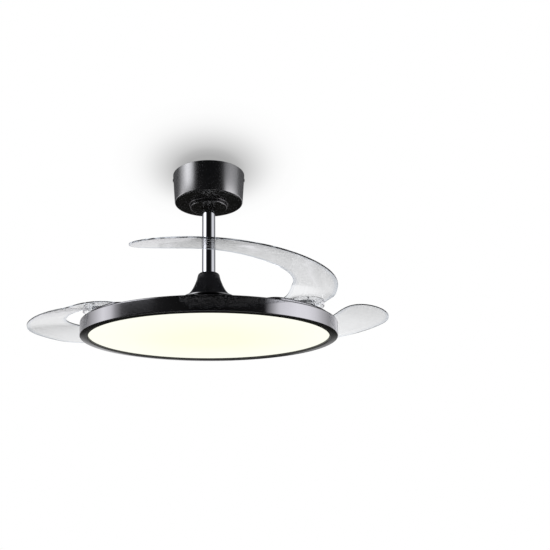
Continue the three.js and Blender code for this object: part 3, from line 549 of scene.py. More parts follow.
def clear_plastic(name):
    """Clear moulded plastic: faint flow lines along it, and painted shade that darkens its
    edges and bead, more where the sheet near an edge slants from view.
    """
    look = bpy.context.scene.fan_finishes
    made, tree, shader, _ = material(name)
    flow = attribute(tree, "flow_place")["Vector"]
    streaks = noise(tree, mapped(tree, flow, scale=(1.5, 4.0, 1.0)), 3.0, 3.0, roughness=0.55)
    tint = scaled(tree, tuple(look.clear)[:3], remap(tree, streaks, 0.3, 0.7, 0.94, 1.0))
    across = add_node(tree, "SeparateXYZ", {0: flow}).outputs["Y"]
    # painted shade: dark lines along the edges and the bead, and a darker border near the edges
    # where the sheet slants from view
    bead = calc(tree, "COMPARE", calc(tree, "ABSOLUTE", across), BEAD_PLACE, BEAD_WIDTH)
    lines = calc(tree, "MAXIMUM", attribute(tree, "edge_line")["Fac"],
                 calc(tree, "MULTIPLY", bead, BEAD_SHADE))
    slant = add_node(tree, "LayerWeight").outputs["Facing"]
    border = calc(tree, "MULTIPLY", attribute(tree, "edge_border")["Fac"],
                  remap(tree, slant, *GRAZING))
    plug(tree, shader, {
        "Base Color": mixed(tree, calc(tree, "MAXIMUM", lines, border), tint, look.clear_edge_shade),
        "Roughness": remap(tree, streaks, 0.0, 1.0, 0.03, 0.09),
        "Normal": bump(tree, 0.04, 0.0002, streaks), "Transmission Weight": 1.0, "IOR": 1.2})
    return made


def opal_glow(name):
    """The lit opal diffuser, warmer in its middle."""
    look = bpy.context.scene.fan_finishes
    made, tree, shader, place = material(name)
    reach = distance(tree, mapped(tree, place, scale=(4.2, 4.2, 0.0)))
    soft = calc(tree, "MULTIPLY_ADD", noise(tree, place, 9.0, 1.0), 0.2, reach)
    plug(tree, shader, {
        "Emission Color": mixed(tree, remap(tree, soft, 0.35, 1.05), look.light_middle,
                                look.light_edge),
        "Emission Strength": 1.0, "Base Color": (0.12, 0.12, 0.11, 1), "Roughness": 0.55})
    return made


def finish(name):
    """The material of a finish, made when it's first asked for."""
    if name in bpy.data.materials:
        return bpy.data.materials[name]
    if name in FINISHES:
        look = bpy.context.scene.fan_finishes
        return grained(name, **{key: getattr(look, value) if isinstance(value, str) else value
                                for key, value in FINISHES[name].items()})
    return {"clear_moulding": clear_plastic, "opal_glow": opal_glow}[name](name)


def dress(piece, look, body, slot, *nodes):
    """Gives a finished piece its finish and its body, and hides the CAD nodes that it stands
    for.
    """
    piece.data.materials.clear()
    piece.data.materials.append(finish(look))
    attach(piece, body)
    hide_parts(*nodes)


# ---------------------------------------------------------------- canopy and rod


def screw_piece(name, reach, head, rise, shank):
    """A pan head screw with a cross recess, its head's underside at the origin."""
    dome = [(head * math.cos(t), rise * (0.35 + 0.65 * math.sin(t)))
            for t in [math.radians(9 * i) for i in range(10)]]
    piece = turned(name, [(0, -reach), (shank, -reach), (shank, 0), (head, 0)] + dome
                   + [(0, rise)], DRILL_STEPS)
    arm, width = head * 1.1, head * 0.24
    for size in ((arm, width, rise), (width, arm, rise)):
        cut(piece, block("recess", size, (0, 0, rise)))
    return smooth(piece)


class FAN_OT_canopy(bpy.types.Operator):
    """Makes the canopy, the stepped disc under it and its two screws"""

    bl_idname = "fan.canopy"
    bl_label = "Canopy"

    def execute(self, context):
        size = context.scene.fan_sizes
        top, bottom = high("canopy"), low("canopy")
        edge, wall = size.canopy_edge, size.canopy_wall
        hole = size.rod_radius + ROD_PLAY
        wide, narrow = size.canopy_top_radius, size.canopy_bottom_radius
        corner = (narrow - edge, bottom + edge)
        cup = turned("canopy_cup", [
            (hole, bottom), *arc(corner, edge, -90, -4, 8), (wide, top - 4 * EDGE),
            (wide, top - EDGE), (wide - EDGE, top), (wide - wall, top),
            *arc(corner, edge - wall, -4, -90, 6), (hole, bottom + wall),
        ], LARGE_STEPS)
        screw_radius, near, far = 2.2 * MM, 50 * MM, 90 * MM
        for side in (-1, 1):
            cut(cup, moved(peg("drill", screw_radius, near, far, 24),
                           shift(z=-size.screw_depth) @ turn(side * 90, "Y")))
        dress(smooth(cup), "satin_black_paint", "fixed", "satin_black_metal", "canopy")

        ring, step, soft = size.trim_radius, size.trim_step_radius, size.trim_round
        middle, under = bottom - size.trim_height, low("canopy_trim")
        trim = turned("canopy_disc", [
            (hole, under), *arc((step - soft, under + soft), soft, -90, 0, 6),
            (step, middle), *arc((ring - soft, middle + soft), soft, -90, 0, 6),
            (ring, bottom), (hole, bottom),
        ], LARGE_STEPS)
        dress(smooth(trim), "satin_black_paint", "fixed", "satin_black_metal", "canopy_trim")

        head_height = 0.9 * MM
        for i, side in enumerate((-1, 1)):
            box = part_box(f"canopy_screw_{i + 1}")
            seat = side * (max(abs(box[0].x), abs(box[1].x)) - head_height)
            screw = screw_piece(f"canopy_fixing_{i + 1}", reach=8.5 * MM, head=3.8 * MM,
                                rise=head_height, shank=1.9 * MM)
            moved(screw, shift(seat, 0, -size.screw_depth) @ turn(side * 90, "Y"))
            dress(screw, "satin_black_paint", "fixed", "satin_black_metal",
                  f"canopy_screw_{i + 1}")
        return {"FINISHED"}


BALL_HEIGHT = -24 * MM       # the hanger ball's centre


def ball_line(radius, first, last, steps, gap=0.0):
    """An outline down a ball, between two depths from its centre."""
    depths = [first + (last - first) * i / steps for i in range(steps + 1)]
    return [(math.sqrt(radius ** 2 - depth ** 2) + gap, BALL_HEIGHT - depth)
            for depth in depths]


def case(name, node, edge, segments):
    """A softened block in a CAD node's box, with the box's corner, middle and size."""
    lowest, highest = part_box(node)
    centre, extent = (lowest + highest) / 2, highest - lowest
    return soften(block(name, extent, centre), edge, segments), lowest, centre, extent


class FAN_OT_bracket(bpy.types.Operator):
    """Makes the ceiling bracket, the hanger ball and what the canopy hides"""

    bl_idname = "fan.bracket"
    bl_label = "Bracket"

    def execute(self, context):
        size = context.scene.fan_sizes
        radius, ball_radius, thick = size.bracket_radius, size.ball_radius, 3 * MM
        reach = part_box("ceiling_bracket")[1].x
        disc = peg("bracket_plate", radius, -thick, 0, MEDIUM_STEPS)
        slot_place, slot_half, slot_end = 38 * MM, 6.25 * MM, 2.75 * MM
        for side in (-1, 1):
            ends = arc((slot_half, 0), slot_end, -90, 90, 8) \
                + arc((-slot_half, 0), slot_end, 90, 270, 8)
            cut(disc, cut_plate("slot", [(x + side * slot_place, y) for x, y in ends],
                                -10 * MM, 10 * MM))
        wire_place = arc((0, 0), 28 * MM, -135, -135, 1)[0]
        cut(disc, moved(peg("wire_hole", 7 * MM, -10 * MM, 10 * MM), shift(*wire_place)))
        parts = [soften(disc, EDGE, 2)]
        inner, width, tab, cheek = radius - 3.5 * MM, 26 * MM, 14 * MM, 51 * MM
        for side in (-1, 1):
            for name, extent, centre in (
                ("arm", (reach - inner, width, thick),
                 (side * (reach + inner) / 2, 0, -thick / 2)),
                ("tab", (thick, width, tab), (side * (reach - thick / 2), 0, -tab / 2)),
                ("cheek", (18 * MM, thick, cheek), (0, side * 25.5 * MM, -cheek / 2)),
            ):
                parts.append(soften(block(name, extent, centre), 0.6 * MM))
        rim, foot, shelf = 27 * MM, -39 * MM, -32 * MM
        cradle = turned("cradle", ball_line(ball_radius, 8 * MM, 15 * MM, 12, 0.45 * MM)
                        + [(rim, foot), (rim, shelf)])
        cut(cradle, block("rod_slot", (2 * rim, 28 * MM, 22 * MM), (rim, 0, foot)))
        parts.append(soften(cradle, 0.3 * MM, 2))
        bracket = smooth(joined("bracket_body", parts))
        dress(bracket, "zinc_steel", "fixed", "steel", "ceiling_bracket")

        bore = size.rod_radius + 0.3 * MM
        top, bottom = 16 * MM, -12 * MM
        ball = turned("hanger_ball_round", ball_line(ball_radius, top, bottom, 24) + [
            (bore, BALL_HEIGHT - bottom), (bore, BALL_HEIGHT - top)])
        dress(smooth(ball), "black_moulding", "fixed", "black_plastic", "hanger_ball")

        receiver, _, centre, extent = case("receiver_case", "receiver_box", 1.8 * MM, 4)
        for side in (-1, 1):
            cut(receiver, block("seam", (extent.x * 1.2, 1.2 * MM, 0.6 * MM), (
                centre.x, centre.y + side * extent.y / 2, centre.z + 3 * MM)))
        dress(smooth(receiver), "black_moulding", "fixed", "black_plastic", "receiver_box")

        terminal, lowest, centre, _ = case("terminal_case", "terminal_block", 0.7 * MM, 2)
        hole_radius, hole_depth, pitch = 2.1 * MM, 17.8 * MM, 9.5 * MM
        for i in range(3):
            x = centre.x + (i - 1) * pitch
            for place in (shift(x, centre.y, lowest.z - 11.8 * MM),
                          shift(x, lowest.y + 0.2 * MM, centre.z) @ turn(90, "X")):
                cut(terminal, moved(peg("hole", hole_radius, 0, hole_depth, 20), place))
        dress(smooth(terminal), "white_moulding", "fixed", "white_plastic", "terminal_block")
        return {"FINISHED"}


class FAN_OT_downrod(bpy.types.Operator):
    """Makes the chromed rod and the flared cover over its coupling"""

    bl_idname = "fan.downrod"
    bl_label = "Rod and Cover"

    def execute(self, context):
        size = context.scene.fan_sizes
        outer, inner = size.rod_radius, size.rod_radius - size.rod_wall
        top, bottom, ends = high("downrod"), low("downrod"), 20 * MM
        rod = turned("downrod_tube", [
            (inner, bottom), (outer - EDGE, bottom), (outer, bottom + EDGE),
            (outer, bottom + ends), (outer, (top + bottom) / 2), (outer, top - ends),
            (outer, top - EDGE), (outer - EDGE, top), (inner, top),
        ])
        dress(smooth(rod), "chrome_plate", "fixed", "chrome", "downrod")

        neck, shoulder, skirt = size.cover_neck, size.cover_shoulder, size.cover_skirt
        foot, wall, hole = size.cover_foot, size.cover_wall, outer + ROD_PLAY
        top, bottom = high("coupling_cover"), low("coupling_cover")
        crown, flare_top, flare_end = top - 0.2 * MM, top - 12.1 * MM, bottom + 4 * MM
        shoulder_play, crown_steps, flare_steps = 1.2 * MM, 9, 24
        outline = [(hole, top), (hole + ROD_PLAY, top), (neck, crown)]
        for i in range(1, crown_steps):
            angle = math.pi / 2 * i / crown_steps
            outline.append((neck + (shoulder - shoulder_play - neck) * math.sin(angle),
                            flare_top + (crown - flare_top) * (
                                0.45 + 0.55 * math.cos(angle))))
        flare = []
        for i in range(flare_steps + 1):
            t = i / flare_steps
            flare.append((shoulder + (skirt - shoulder) * (0.6 * t + 0.4 * t ** 4),
                          flare_top + (flare_end - flare_top) * t))
        foot_round, foot_drop, floor_radius = 0.8 * MM, 2 * MM, 38 * MM
        corner = (foot - 0.94 * MM, flare_end - foot_drop)
        outline += flare[1:] + [
            (corner[0], flare_end - 1.2 * MM), *arc(corner, foot_round, 80, 4, 4),
            (foot, bottom), (floor_radius, bottom), (floor_radius, bottom + wall),
            (skirt - wall, bottom + wall)]
        outline += [(radius - wall, height) for radius, height in reversed(flare)]
        outline += [(shoulder - 2 * wall, top - 7.5 * MM), (hole, top - 3 * MM)]
        cover = turned("coupling_bell", outline, LARGE_STEPS)
        dress(smooth(cover, 40), "satin_black_paint", "fixed", "satin_black_metal",
              "coupling_cover")
        return {"FINISHED"}


# ---------------------------------------------------------------- motor and carrier


class FAN_OT_motor(bpy.types.Operator):
    """Makes the two halves of the turning motor shell"""

    bl_idname = "fan.motor"
    bl_label = "Motor Shell"

    def execute(self, context):
        size = context.scene.fan_sizes
        radius, wall, hole = size.motor_radius, size.motor_wall, 8.6 * MM
        top, split = high("motor_top_shell"), low("motor_top_shell")
        bottom, seam = low("motor_bottom_shell"), 0.6 * MM
        dome_reach, dome_drop, dome_steps = 70 * MM, 13.5 * MM, 12
        shoulder, shoulder_drop = 7 * MM, 20.5 * MM
        dome = [(BEARING_COLLAR + dome_reach * t, top - dome_drop * t ** 2.1)
                for t in [i / dome_steps for i in range(1, dome_steps)]]
        shell = turned("motor_dome", [
            (hole, top), (BEARING_COLLAR, top), *dome,
            *arc((radius - shoulder, top - shoulder_drop), shoulder, 74, 0, 8),
            (radius, split + seam), (radius - seam, split), (radius - wall, split),
            (radius - wall, top - shoulder_drop), (radius - 8 * MM, top - 17.5 * MM),
            (50 * MM, top - 5.8 * MM), (BEARING_COLLAR, top - 3.2 * MM),
            (BEARING_COLLAR, top - BEARING_DEPTH), (BEARING_SEAT, top - BEARING_DEPTH),
            (BEARING_SEAT, top - wall), (hole, top - wall),
        ], LARGE_STEPS)
        edge, floor = wall, bottom + wall
        base = turned("motor_base", [
            (hole, bottom), *arc((radius - edge, bottom + edge), edge, -90, 0, 6),
            (radius, split - seam), (radius - seam, split), (radius - wall, split),
            (radius - wall, floor), (BEARING_COLLAR, floor),
            (BEARING_COLLAR, bottom + BEARING_DEPTH), (BEARING_SEAT, bottom + BEARING_DEPTH),
            (BEARING_SEAT, floor), (hole, floor),
        ], LARGE_STEPS)
        for piece, node in ((shell, "motor_top_shell"), (base, "motor_bottom_shell")):
            dress(smooth(piece), "rim_black_coating", "rotor", "satin_black_aluminium", node)
        return {"FINISHED"}


REST_ANGLES = (56.5, 32.0, 51.5)


def pivot_place(i, circle):
    """The place of a blade's pivot."""
    return turn(-37.2 + 120 * i) @ shift(circle)


class FAN_OT_carrier(bpy.types.Operator):
    """Makes the disc that carries the blades, with a shoe under each pivot"""

    bl_idname = "fan.carrier"
    bl_label = "Blade Carrier"

    def execute(self, context):
        size = context.scene.fan_sizes
        top, bottom = high("blade_carrier"), low("blade_carrier")
        reach, circle = size.carrier_radius, size.pivot_circle
        inner, outer = circle - 21.7 * MM, circle + 23.3 * MM
        middle, round_end = (inner + outer) / 2, (outer - inner) / 2
        half, web, web_hole, overlap, width = 22, 3 * MM, 26 * MM, 12 * MM, 56 * MM
        end = arc((0, 0), middle, half, half, 1)[0]
        points = arc((0, 0), outer, -half, half, 24)
        points += arc(end, round_end, half, half + 180, 16)[1:]
        points += arc((0, 0), inner, half, -half, 24)[1:]
        points += arc((end[0], -end[1]), round_end, 180 - half, 360 - half, 16)[1:-1]
        parts = [soften(turned("carrier_web", [
            (web_hole, top - web), (reach, top - web), (reach, top), (web_hole, top)],
            LARGE_STEPS), 0.5 * MM, 2)]
        root = reach - overlap
        for i in range(3):
            shoe = soften(cut_plate("shoe", points, bottom, top), 0.8 * MM, 2)
            neck = soften(block("neck", (middle - root, width, top - bottom), (
                (middle + root) / 2, 0, (top + bottom) / 2)), 0.6 * MM, 2)
            parts += [moved(piece, pivot_place(i, 0)) for piece in (shoe, neck)]
        carrier = smooth(joined("carrier_plate", parts))
        dress(carrier, "rim_black_coating", "rotor", "satin_black_aluminium", "blade_carrier")
        return {"FINISHED"}


def coil_spring(wire, radius, coils):
    """A return spring of round wire, at a pivot's place on the axis."""
    foot, top = low("return_spring_a"), high("return_spring_a")
    start()
    bpy.ops.mesh.primitive_circle_add(
        vertices=12, radius=wire, location=(radius, 0, foot + wire),
        rotation=(math.pi / 2, 0, 0))
    spring = settle(named("coil"))
    applied(spring, "SCREW", axis="Z", angle=math.tau, iterations=coils, steps=40,
            render_steps=40, screw_offset=(top - foot - 2 * wire) / coils)

    def close_ends():
        bpy.ops.mesh.select_mode(type="VERT")
        bpy.ops.mesh.remove_doubles(threshold=1e-7)
        bpy.ops.mesh.select_all(action="DESELECT")
        bpy.ops.mesh.select_non_manifold()
        bpy.ops.mesh.fill_holes(sides=0)

    return edited(spring, close_ends, outwards)


class FAN_OT_pivots(bpy.types.Operator):
    """Makes the posts, screws, washers, stop pins, bushings and springs of the blades"""

    bl_idname = "fan.pivots"
    bl_label = "Blade Pivots"

    def execute(self, context):
        circle, seat = context.scene.fan_sizes.pivot_circle, high("blade_carrier")
        foot, top = low("pivot_post_a"), high("pivot_post_a")
        shank, body, thread, thread_depth = 4 * MM, 6 * MM, 2.7 * MM, 8.7 * MM
        post = turned("post", [
            (0, foot), (shank - EDGE, foot), (shank, foot + EDGE), (shank, seat),
            (body, seat), (body, top - EDGE), (body - EDGE, top), (thread, top),
            (thread, top - thread_depth), (0, top - thread_depth)], SMALL_STEPS)

        foot, top = low("pivot_screw_a"), high("pivot_screw_a")
        head, head_height, shank, head_edge = 10 * MM, 2.5 * MM, 2.4 * MM, 1 * MM
        under = top - head_height
        screw = turned("screw", [
            (0, foot), (shank, foot), (shank, under), (head - 0.2 * MM, under),
            (head, under + 0.3 * MM), *arc((head - head_edge, top - head_edge), head_edge,
                                           0, 90, 5), (0, top)], SMALL_STEPS)
        cut(screw, cut_plate("socket", arc((0, 0), 3.5 * MM, 0, 300, 5), top - 1.5 * MM,
                             top + 1 * MM))

        bore, edge = 6.3 * MM, 0.2 * MM
        washer = turned("washer", band(
            bore, 18 * MM, low("thrust_washer_a"), high("thrust_washer_a"), edge))
        bushing = turned("bush", band(
            bore, 8.5 * MM, low("bushing_a"), high("bushing_a"), edge), SMALL_STEPS)

        foot, top = low("stop_pin_a"), high("stop_pin_a")
        radius, edge = 2.5 * MM, 0.6 * MM
        pin = turned("pin", [(0, foot), (radius, foot), (radius, top - edge),
                             (radius - edge, top), (0, top)], DRILL_STEPS)
        spring = coil_spring(1.1 * MM, 16.3 * MM, 4)

        for i, name in enumerate(BLADE_IDS):
            hub = pivot_place(i, circle)
            stop, swung = hub @ shift(0, STOP_CIRCLE), hub @ turn(REST_ANGLES[i])
            swing = f"swing_blade_{name}"
            for model, label, place, look, body, slot, node in (
                (post, "post", hub, "zinc_steel", "rotor", "steel", "pivot_post"),
                (screw, "cap_screw", hub, "zinc_steel", "rotor", "steel", "pivot_screw"),
                (washer, "slip_washer", hub, "white_moulding", "rotor", "white_plastic",
                 "thrust_washer"),
                (pin, "stop_peg", stop, "black_moulding", "rotor", "black_plastic",
                 "stop_pin"),
                (bushing, "bronze_bush", swung, "sintered_bronze", swing, "bronze", "bushing"),
                (spring, "coil_spring", swung, "zinc_steel", swing, "steel", "return_spring"),
            ):
                copy = placed(smooth(model), f"{label}_{name}", place)
                dress(copy, look, body, slot, f"{node}_{name}")
        for model in (post, screw, washer, pin, bushing, spring):
            bpy.data.objects.remove(model)
        return {"FINISHED"}


# ---------------------------------------------------------------- blades

# The folded blade: angle round the axis, middle line in from the pivot circle, width (mm)
BLADE_STATIONS = (
    (12.1, -0.8, 86), (-9, 4.2, 75.5), (-24, 7.2, 71), (-42, 9.4, 72.4), (-60, 10.4, 78.4),
    (-78, 11.9, 88), (-96, 14.3, 95), (-112, 16.4, 97), (-132.8, 21, 98),
)
ROOT_END, TIP_END = BLADE_STATIONS[0][0], BLADE_STATIONS[-1][0]
ROOT_ROUND, TIP_ROUND = 43 * MM, 110 * MM
ALONG, ACROSS = 132, 24
# the sheet's fall at its outer edge, its pitch, the radius of its camber and its tip's rise
EDGE_DROP, PITCH, CAMBER_RADIUS, TIP_RISE = 3.9 * MM, 0.264, 0.685, 6.5 * MM
OUTER_EDGE = 31.3 * MM       # from the pivot circle out to where the pitch begins
RISE_START, RISE_SPAN = -50, 55          # angles along the blade, in degrees
FLAT_REACH, FLAT_BLEND = 36 * MM, 34 * MM    # the flat round the pivot
COLLAR_HEIGHT = 10.7 * MM
OPEN_ANGLE, STOP_CIRCLE = 85, 24 * MM    # the swing, and the stop pin's place
RIBS, RIB_START, RIB_THICKNESS, RIB_GAP = 5, 20 * MM, 2 * MM, 1 * MM
STOP_REACH = 3.8 * MM        # half the pin, half a rib and the play between them
# along a blade's edges: where the painted shade line and the painted shade of the slanting
# border are full, and their fade
LINE_FULL, LINE_FADE, BORDER_FULL, BORDER_FADE = 0.4 * MM, 1.3 * MM, 2 * MM, 7 * MM


def station_curve(column, t):
    """A smooth curve through the stations: the (angle, value) at a share of its length."""
    last = len(BLADE_STATIONS) - 1
    i = min(int(t * last), last - 1)
    w = t * last - i
    rows = [BLADE_STATIONS[max(i - 1, 0)], BLADE_STATIONS[i], BLADE_STATIONS[i + 1],
            BLADE_STATIONS[min(i + 2, last)]]

    def through(a, b, c, d):
        v0, v1 = (c - a) / 2, (d - b) / 2
        return (2 * b - 2 * c + v0 + v1) * w ** 3 + (3 * c - 3 * b - 2 * v0 - v1) * w * w \
            + v0 * w + b

    return through(*[r[0] for r in rows]), through(*[r[column] for r in rows])


def station(column, degrees):
    """The value of a column at an angle round the axis, in metres."""
    first, last = 0.0, 1.0
    for _ in range(24):
        middle = (first + last) / 2
        if station_curve(column, middle)[0] > degrees:
            first = middle
        else:
            last = middle
    return station_curve(column, first)[1] * MM


def eased(t):
    """A smooth step from 0 to 1."""
    t = min(max(t, 0), 1)
    return t * t * (3 - 2 * t)


def rounded(distance, reach):
    """How far a rounded end draws the width in."""
    return 1 if distance >= reach else math.sqrt(max(0, 1 - (1 - distance / reach) ** 2))


def blade_line(share, degrees, circle):
    """At a place along a folded blade: its length so far, middle radius and half width."""
    sweep = math.radians(ROOT_END - TIP_END) * circle
    ends = rounded(share * sweep, ROOT_ROUND) * rounded((1 - share) * sweep, TIP_ROUND)
    half = station(2, degrees) / 2
    return share * sweep, circle - station(1, degrees), half, half * ends


def sheet_height(x, y, circle, flat):
    """Height of the sheet's middle over a point of the folded blade."""
    inwards = circle + OUTER_EDGE - math.hypot(x, y)
    degrees = math.degrees(math.atan2(y, x))
    rise = TIP_RISE * eased((RISE_START - degrees) / RISE_SPAN)
    pitched = flat - EDGE_DROP + PITCH * inwards - inwards ** 2 / (2 * CAMBER_RADIUS) + rise
    blend = eased((math.hypot(x - circle, y) - FLAT_REACH) / FLAT_BLEND)
    return flat + (pitched - flat) * blend


def blade_sheet(size, flat):
    """The clear sheet of the folded blade, with rounded edges."""
    start()
    bpy.ops.mesh.primitive_grid_add(x_subdivisions=ALONG, y_subdivisions=ACROSS, size=2)
    sheet = named("blade_sheet")
    circle = size.pivot_circle
    for vertex in sheet.data.vertices:
        share = (1 - math.cos(math.pi * (vertex.co.x + 1) / 2)) / 2
        side = math.sin(math.pi / 2 * vertex.co.y)
        degrees = ROOT_END + (TIP_END - ROOT_END) * share
        _, middle, _, half = blade_line(share, degrees, circle)
        radius, way = middle + side * half, math.radians(degrees)
        x, y = radius * math.cos(way), radius * math.sin(way)
        vertex.co = (x, y, sheet_height(x, y, circle, flat))
    edited(sheet, weld(1e-5), outwards)
    applied(sheet, "SOLIDIFY", thickness=size.blade_thickness, offset=0)
    return soften(sheet, 0.7 * MM, 3, 50)


def blade_marks(piece, size, under):
    """Gives each point of a folded blade its place along it and its nearness to the edge, which
    sets the painted shade along the edges.
    """
    mesh, circle = piece.data, size.pivot_circle
    edge = mesh.attributes.new("edge_line", "FLOAT", "POINT")
    border = mesh.attributes.new("edge_border", "FLOAT", "POINT")
    flow = mesh.attributes.new("flow_place", "FLOAT_VECTOR", "POINT")
    root_reach = size.collar_radius + 1 * MM
    for i, vertex in enumerate(mesh.vertices):
        x, y, z = vertex.co
        degrees = math.degrees(math.atan2(y, x))
        share = min(max((ROOT_END - degrees) / (ROOT_END - TIP_END), 0), 1)
        along, middle, half, drawn_in = blade_line(share, degrees, circle)
        across = math.hypot(x, y) - middle
        inset = drawn_in - abs(across)
        if math.hypot(x - circle, y) >= root_reach or z >= under:
            # painted shade: a dark line at the edge and a darker border inside it
            edge.data[i].value = 1 - eased((inset - LINE_FULL) / LINE_FADE)
            border.data[i].value = 1 - eased((inset - BORDER_FULL) / BORDER_FADE)
        flow.data[i].vector = (along, across / half, 0)


class FAN_OT_blades(bpy.types.Operator):
    """Makes the three clear blades with their collars, hubs and ribs"""

    bl_idname = "fan.blades"
    bl_label = "Blades"

    def execute(self, context):
        size = context.scene.fan_sizes
        circle, hub = size.pivot_circle, size.hub_radius
        foot, collar_edge = low("bushing_a"), 0.6 * MM
        top, flat = foot + COLLAR_HEIGHT, foot + size.sheet_height
        blade = blade_sheet(size, flat)
        outer, inner = size.collar_radius, size.collar_radius - size.collar_wall
        parts = [
            turned("collar", [(inner, foot), (outer - collar_edge, foot),
                              (outer, foot + collar_edge), (outer, flat), (inner, flat)]),
            turned("hub", [(0, foot), (hub - EDGE, foot), (hub, foot + EDGE), (hub, flat),
                           (0, flat)], SMALL_STEPS),
        ]
        reach = outer - size.collar_wall / 2 - RIB_START
        margin = math.degrees(math.asin(STOP_REACH / STOP_CIRCLE))
        fold_stop, open_stop = 90 + margin, 90 - OPEN_ANGLE - margin
        rest = 360 - (fold_stop - open_stop)
        rib_foot = foot + RIB_GAP
        for degrees in [open_stop] + [fold_stop + rest * i / RIBS for i in range(RIBS)]:
            rib = block("rib", (reach, RIB_THICKNESS, flat - rib_foot), (
                RIB_START + reach / 2, 0, (flat + rib_foot) / 2))
            parts.append(moved(rib, turn(degrees)))
        for part in parts:
            combine(blade, moved(part, shift(circle)), "UNION")
        bore_top = top + 20 * MM
        for radius, bore_foot in ((8.8 * MM, foot - 10 * MM), (10.9 * MM, high("bushing_a"))):
            cut(blade, moved(peg("bore", radius, bore_foot, bore_top, SMALL_STEPS),
                             shift(circle)))
        blade_marks(blade, size, top)
        smooth(blade, 40)
        for i, name in enumerate(BLADE_IDS):
            swung = pivot_place(i, circle) @ turn(REST_ANGLES[i]) @ shift(-circle)
            copy = placed(blade, f"clear_blade_{name}", swung)
            dress(copy, "clear_moulding", f"swing_blade_{name}", "clear_plastic",
                  f"blade_{name}")
        bpy.data.objects.remove(blade)
        return {"FINISHED"}


# ---------------------------------------------------------------- lamp


class FAN_OT_lamp(bpy.types.Operator):
    """Makes the lamp's rim, pan and diffuser"""

    bl_idname = "fan.lamp"
    bl_label = "Lamp"

    def execute(self, context):
        size = context.scene.fan_sizes
        radius, edge, draft = size.lamp_radius, size.rim_edge, size.rim_draft
        inside = radius - size.lip_width
        top, bottom = high("lamp_rim"), low("lamp_rim")
        lip_top = low("diffuser") + size.light_recess
        lip_edge, wall, flange, sheet = 0.6 * MM, 2 * MM, 10 * MM, 1.5 * MM
        rim = turned("lamp_rim_ring", [
            (inside, bottom + lip_edge), (inside + lip_edge, bottom),
            *arc((radius - edge, bottom + edge), edge, -90, 0, 5), (radius, bottom + 2 * edge),
            (radius + draft, top - 2 * edge),
            *arc((radius - edge + draft, top - edge), edge, 0, 90, 5),
            (radius - flange, top), (radius - flange, top - sheet),
            (radius - wall, top - sheet), (radius - wall, lip_top), (inside, lip_top),
        ], LARGE_STEPS)

        # a dark ring, added as painted shade, that keeps the light off the lip's inner face
        thin, gap, foot = 0.8 * MM, 0.1 * MM, bottom + 0.3 * MM
        lip_shade = turned("light_seal", [
            (inside - thin, foot + 0.3 * MM), (inside - 0.5 * MM, foot), (inside - gap, foot),
            (inside - gap, lip_top - gap), (inside - thin, lip_top - gap)], LARGE_STEPS)

        top, foot, bore, reach = high("lamp_pan"), low("lamp_pan"), 8.3 * MM, radius - 2.3 * MM
        pan = turned("lamp_pan_sheet", [
            (bore, foot), (reach, foot), (reach, top), (bore, top)], LARGE_STEPS)

        top, reach, opal_edge = high("diffuser"), radius - 2.6 * MM, 0.5 * MM
        opal = turned("opal_disc", [
            (0, lip_top), (inside - 2 * MM, lip_top), (reach - opal_edge, lip_top),
            (reach, lip_top + opal_edge), (reach, top), (0, top)], LARGE_STEPS)
        for piece, look, slot, *nodes in (
            (rim, "rim_black_coating", "satin_black_aluminium", "lamp_rim"),
            (lip_shade, "black_moulding", "satin_black_aluminium"),
            (pan, "rim_black_coating", "satin_black_aluminium", "lamp_pan"),
            (opal, "opal_glow", "opal_diffuser", "diffuser"),
        ):
            dress(smooth(piece), look, "fixed", slot, *nodes)
        return {"FINISHED"}


INNER_PARTS = {
    "zinc_steel": (
        "hanger_pin", "coupling", "coupling_pin", "motor_shaft", "lamp_flange", "lamp_nut",
        "lamp_screw_1", "lamp_screw_2", "lamp_screw_3", "carrier_screw_1", "carrier_screw_2",
        "carrier_screw_3", "upper_bearing", "lower_bearing"),
    "laminated_steel": ("stator_core",),
    "copper_winding": ("winding_upper", "winding_lower"),
    "magnet_ferrite": ("magnet_ring",),
    "board_lacquer": ("led_board",),
    "white_moulding": ("led_driver",),
}


class FAN_OT_inner_parts(bpy.types.Operator):
    """Gives the inner parts that keep their CAD shape a finish of their own"""

    bl_idname = "fan.inner_parts"
    bl_label = "Inner Parts"

    def execute(self, context):
        for look, nodes in INNER_PARTS.items():
            for name in nodes:
                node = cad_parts[name]
                node.data.materials.clear()
                node.data.materials.append(finish(look))
        return {"FINISHED"}


# ---------------------------------------------------------------- studio

# Levels round the fan that its glossy faces mirror: degrees from the front, to the right of
# it positive. UPPER is what the canopy and the rod mirror, LOWER the rim, FAR_LIP the lip
UPPER = (
    (-180, 0.015), (-140, 0.03), (-118, 0.035), (-106, 0.09), (-92, 0.25), (-72, 0.6),
    (-58, 0.46), (-44, 0.03), (-34, 0.002), (0, 0.0012), (34, 0.002), (46, 0.02), (56, 0.11),
    (75, 0.17), (98, 0.13), (114, 0.045), (135, 0.035), (180, 0.015),
)
LOWER = (
    (-180, 0.06), (-172, 0.1), (-137, 0.105), (-127, 0.13), (-115, 0.28), (-102, 0.48),
    (-92, 0.4), (-86, 0.18), (-79, 0.04), (-70, 0.01), (0, 0.0015), (48, 0.005), (62, 0.45),
    (80, 0.55), (92, 0.52), (103, 0.42), (115, 0.26), (127, 0.14), (152, 0.2), (165, 0.06),
    (172, 0.01), (177, 0.012), (180, 0.06),
)
FAR_LIP = (
    (-173, 0.003), (-171, 0.12), (-166, 0.12), (-163, 0.003), (163, 0.003), (166, 0.08),
    (171, 0.08), (173, 0.003),
)
UPPER_TINT, LOWER_TINT = (0.96, 0.96, 1.0), (1.0, 0.985, 1.02)
OVERHEAD, UNDERFOOT = (0.003, 0.003, 0.0035, 1), (0.003, 0.003, 0.0027, 1)
# heights of a mirrored direction between which one of these goes over into the next
TO_UPPER, TO_OVERHEAD, TO_LOWER, TO_LIP = (
    (0.24, 0.258), (0.45, 0.58), (-0.14, -0.08), (-0.2, -0.14))
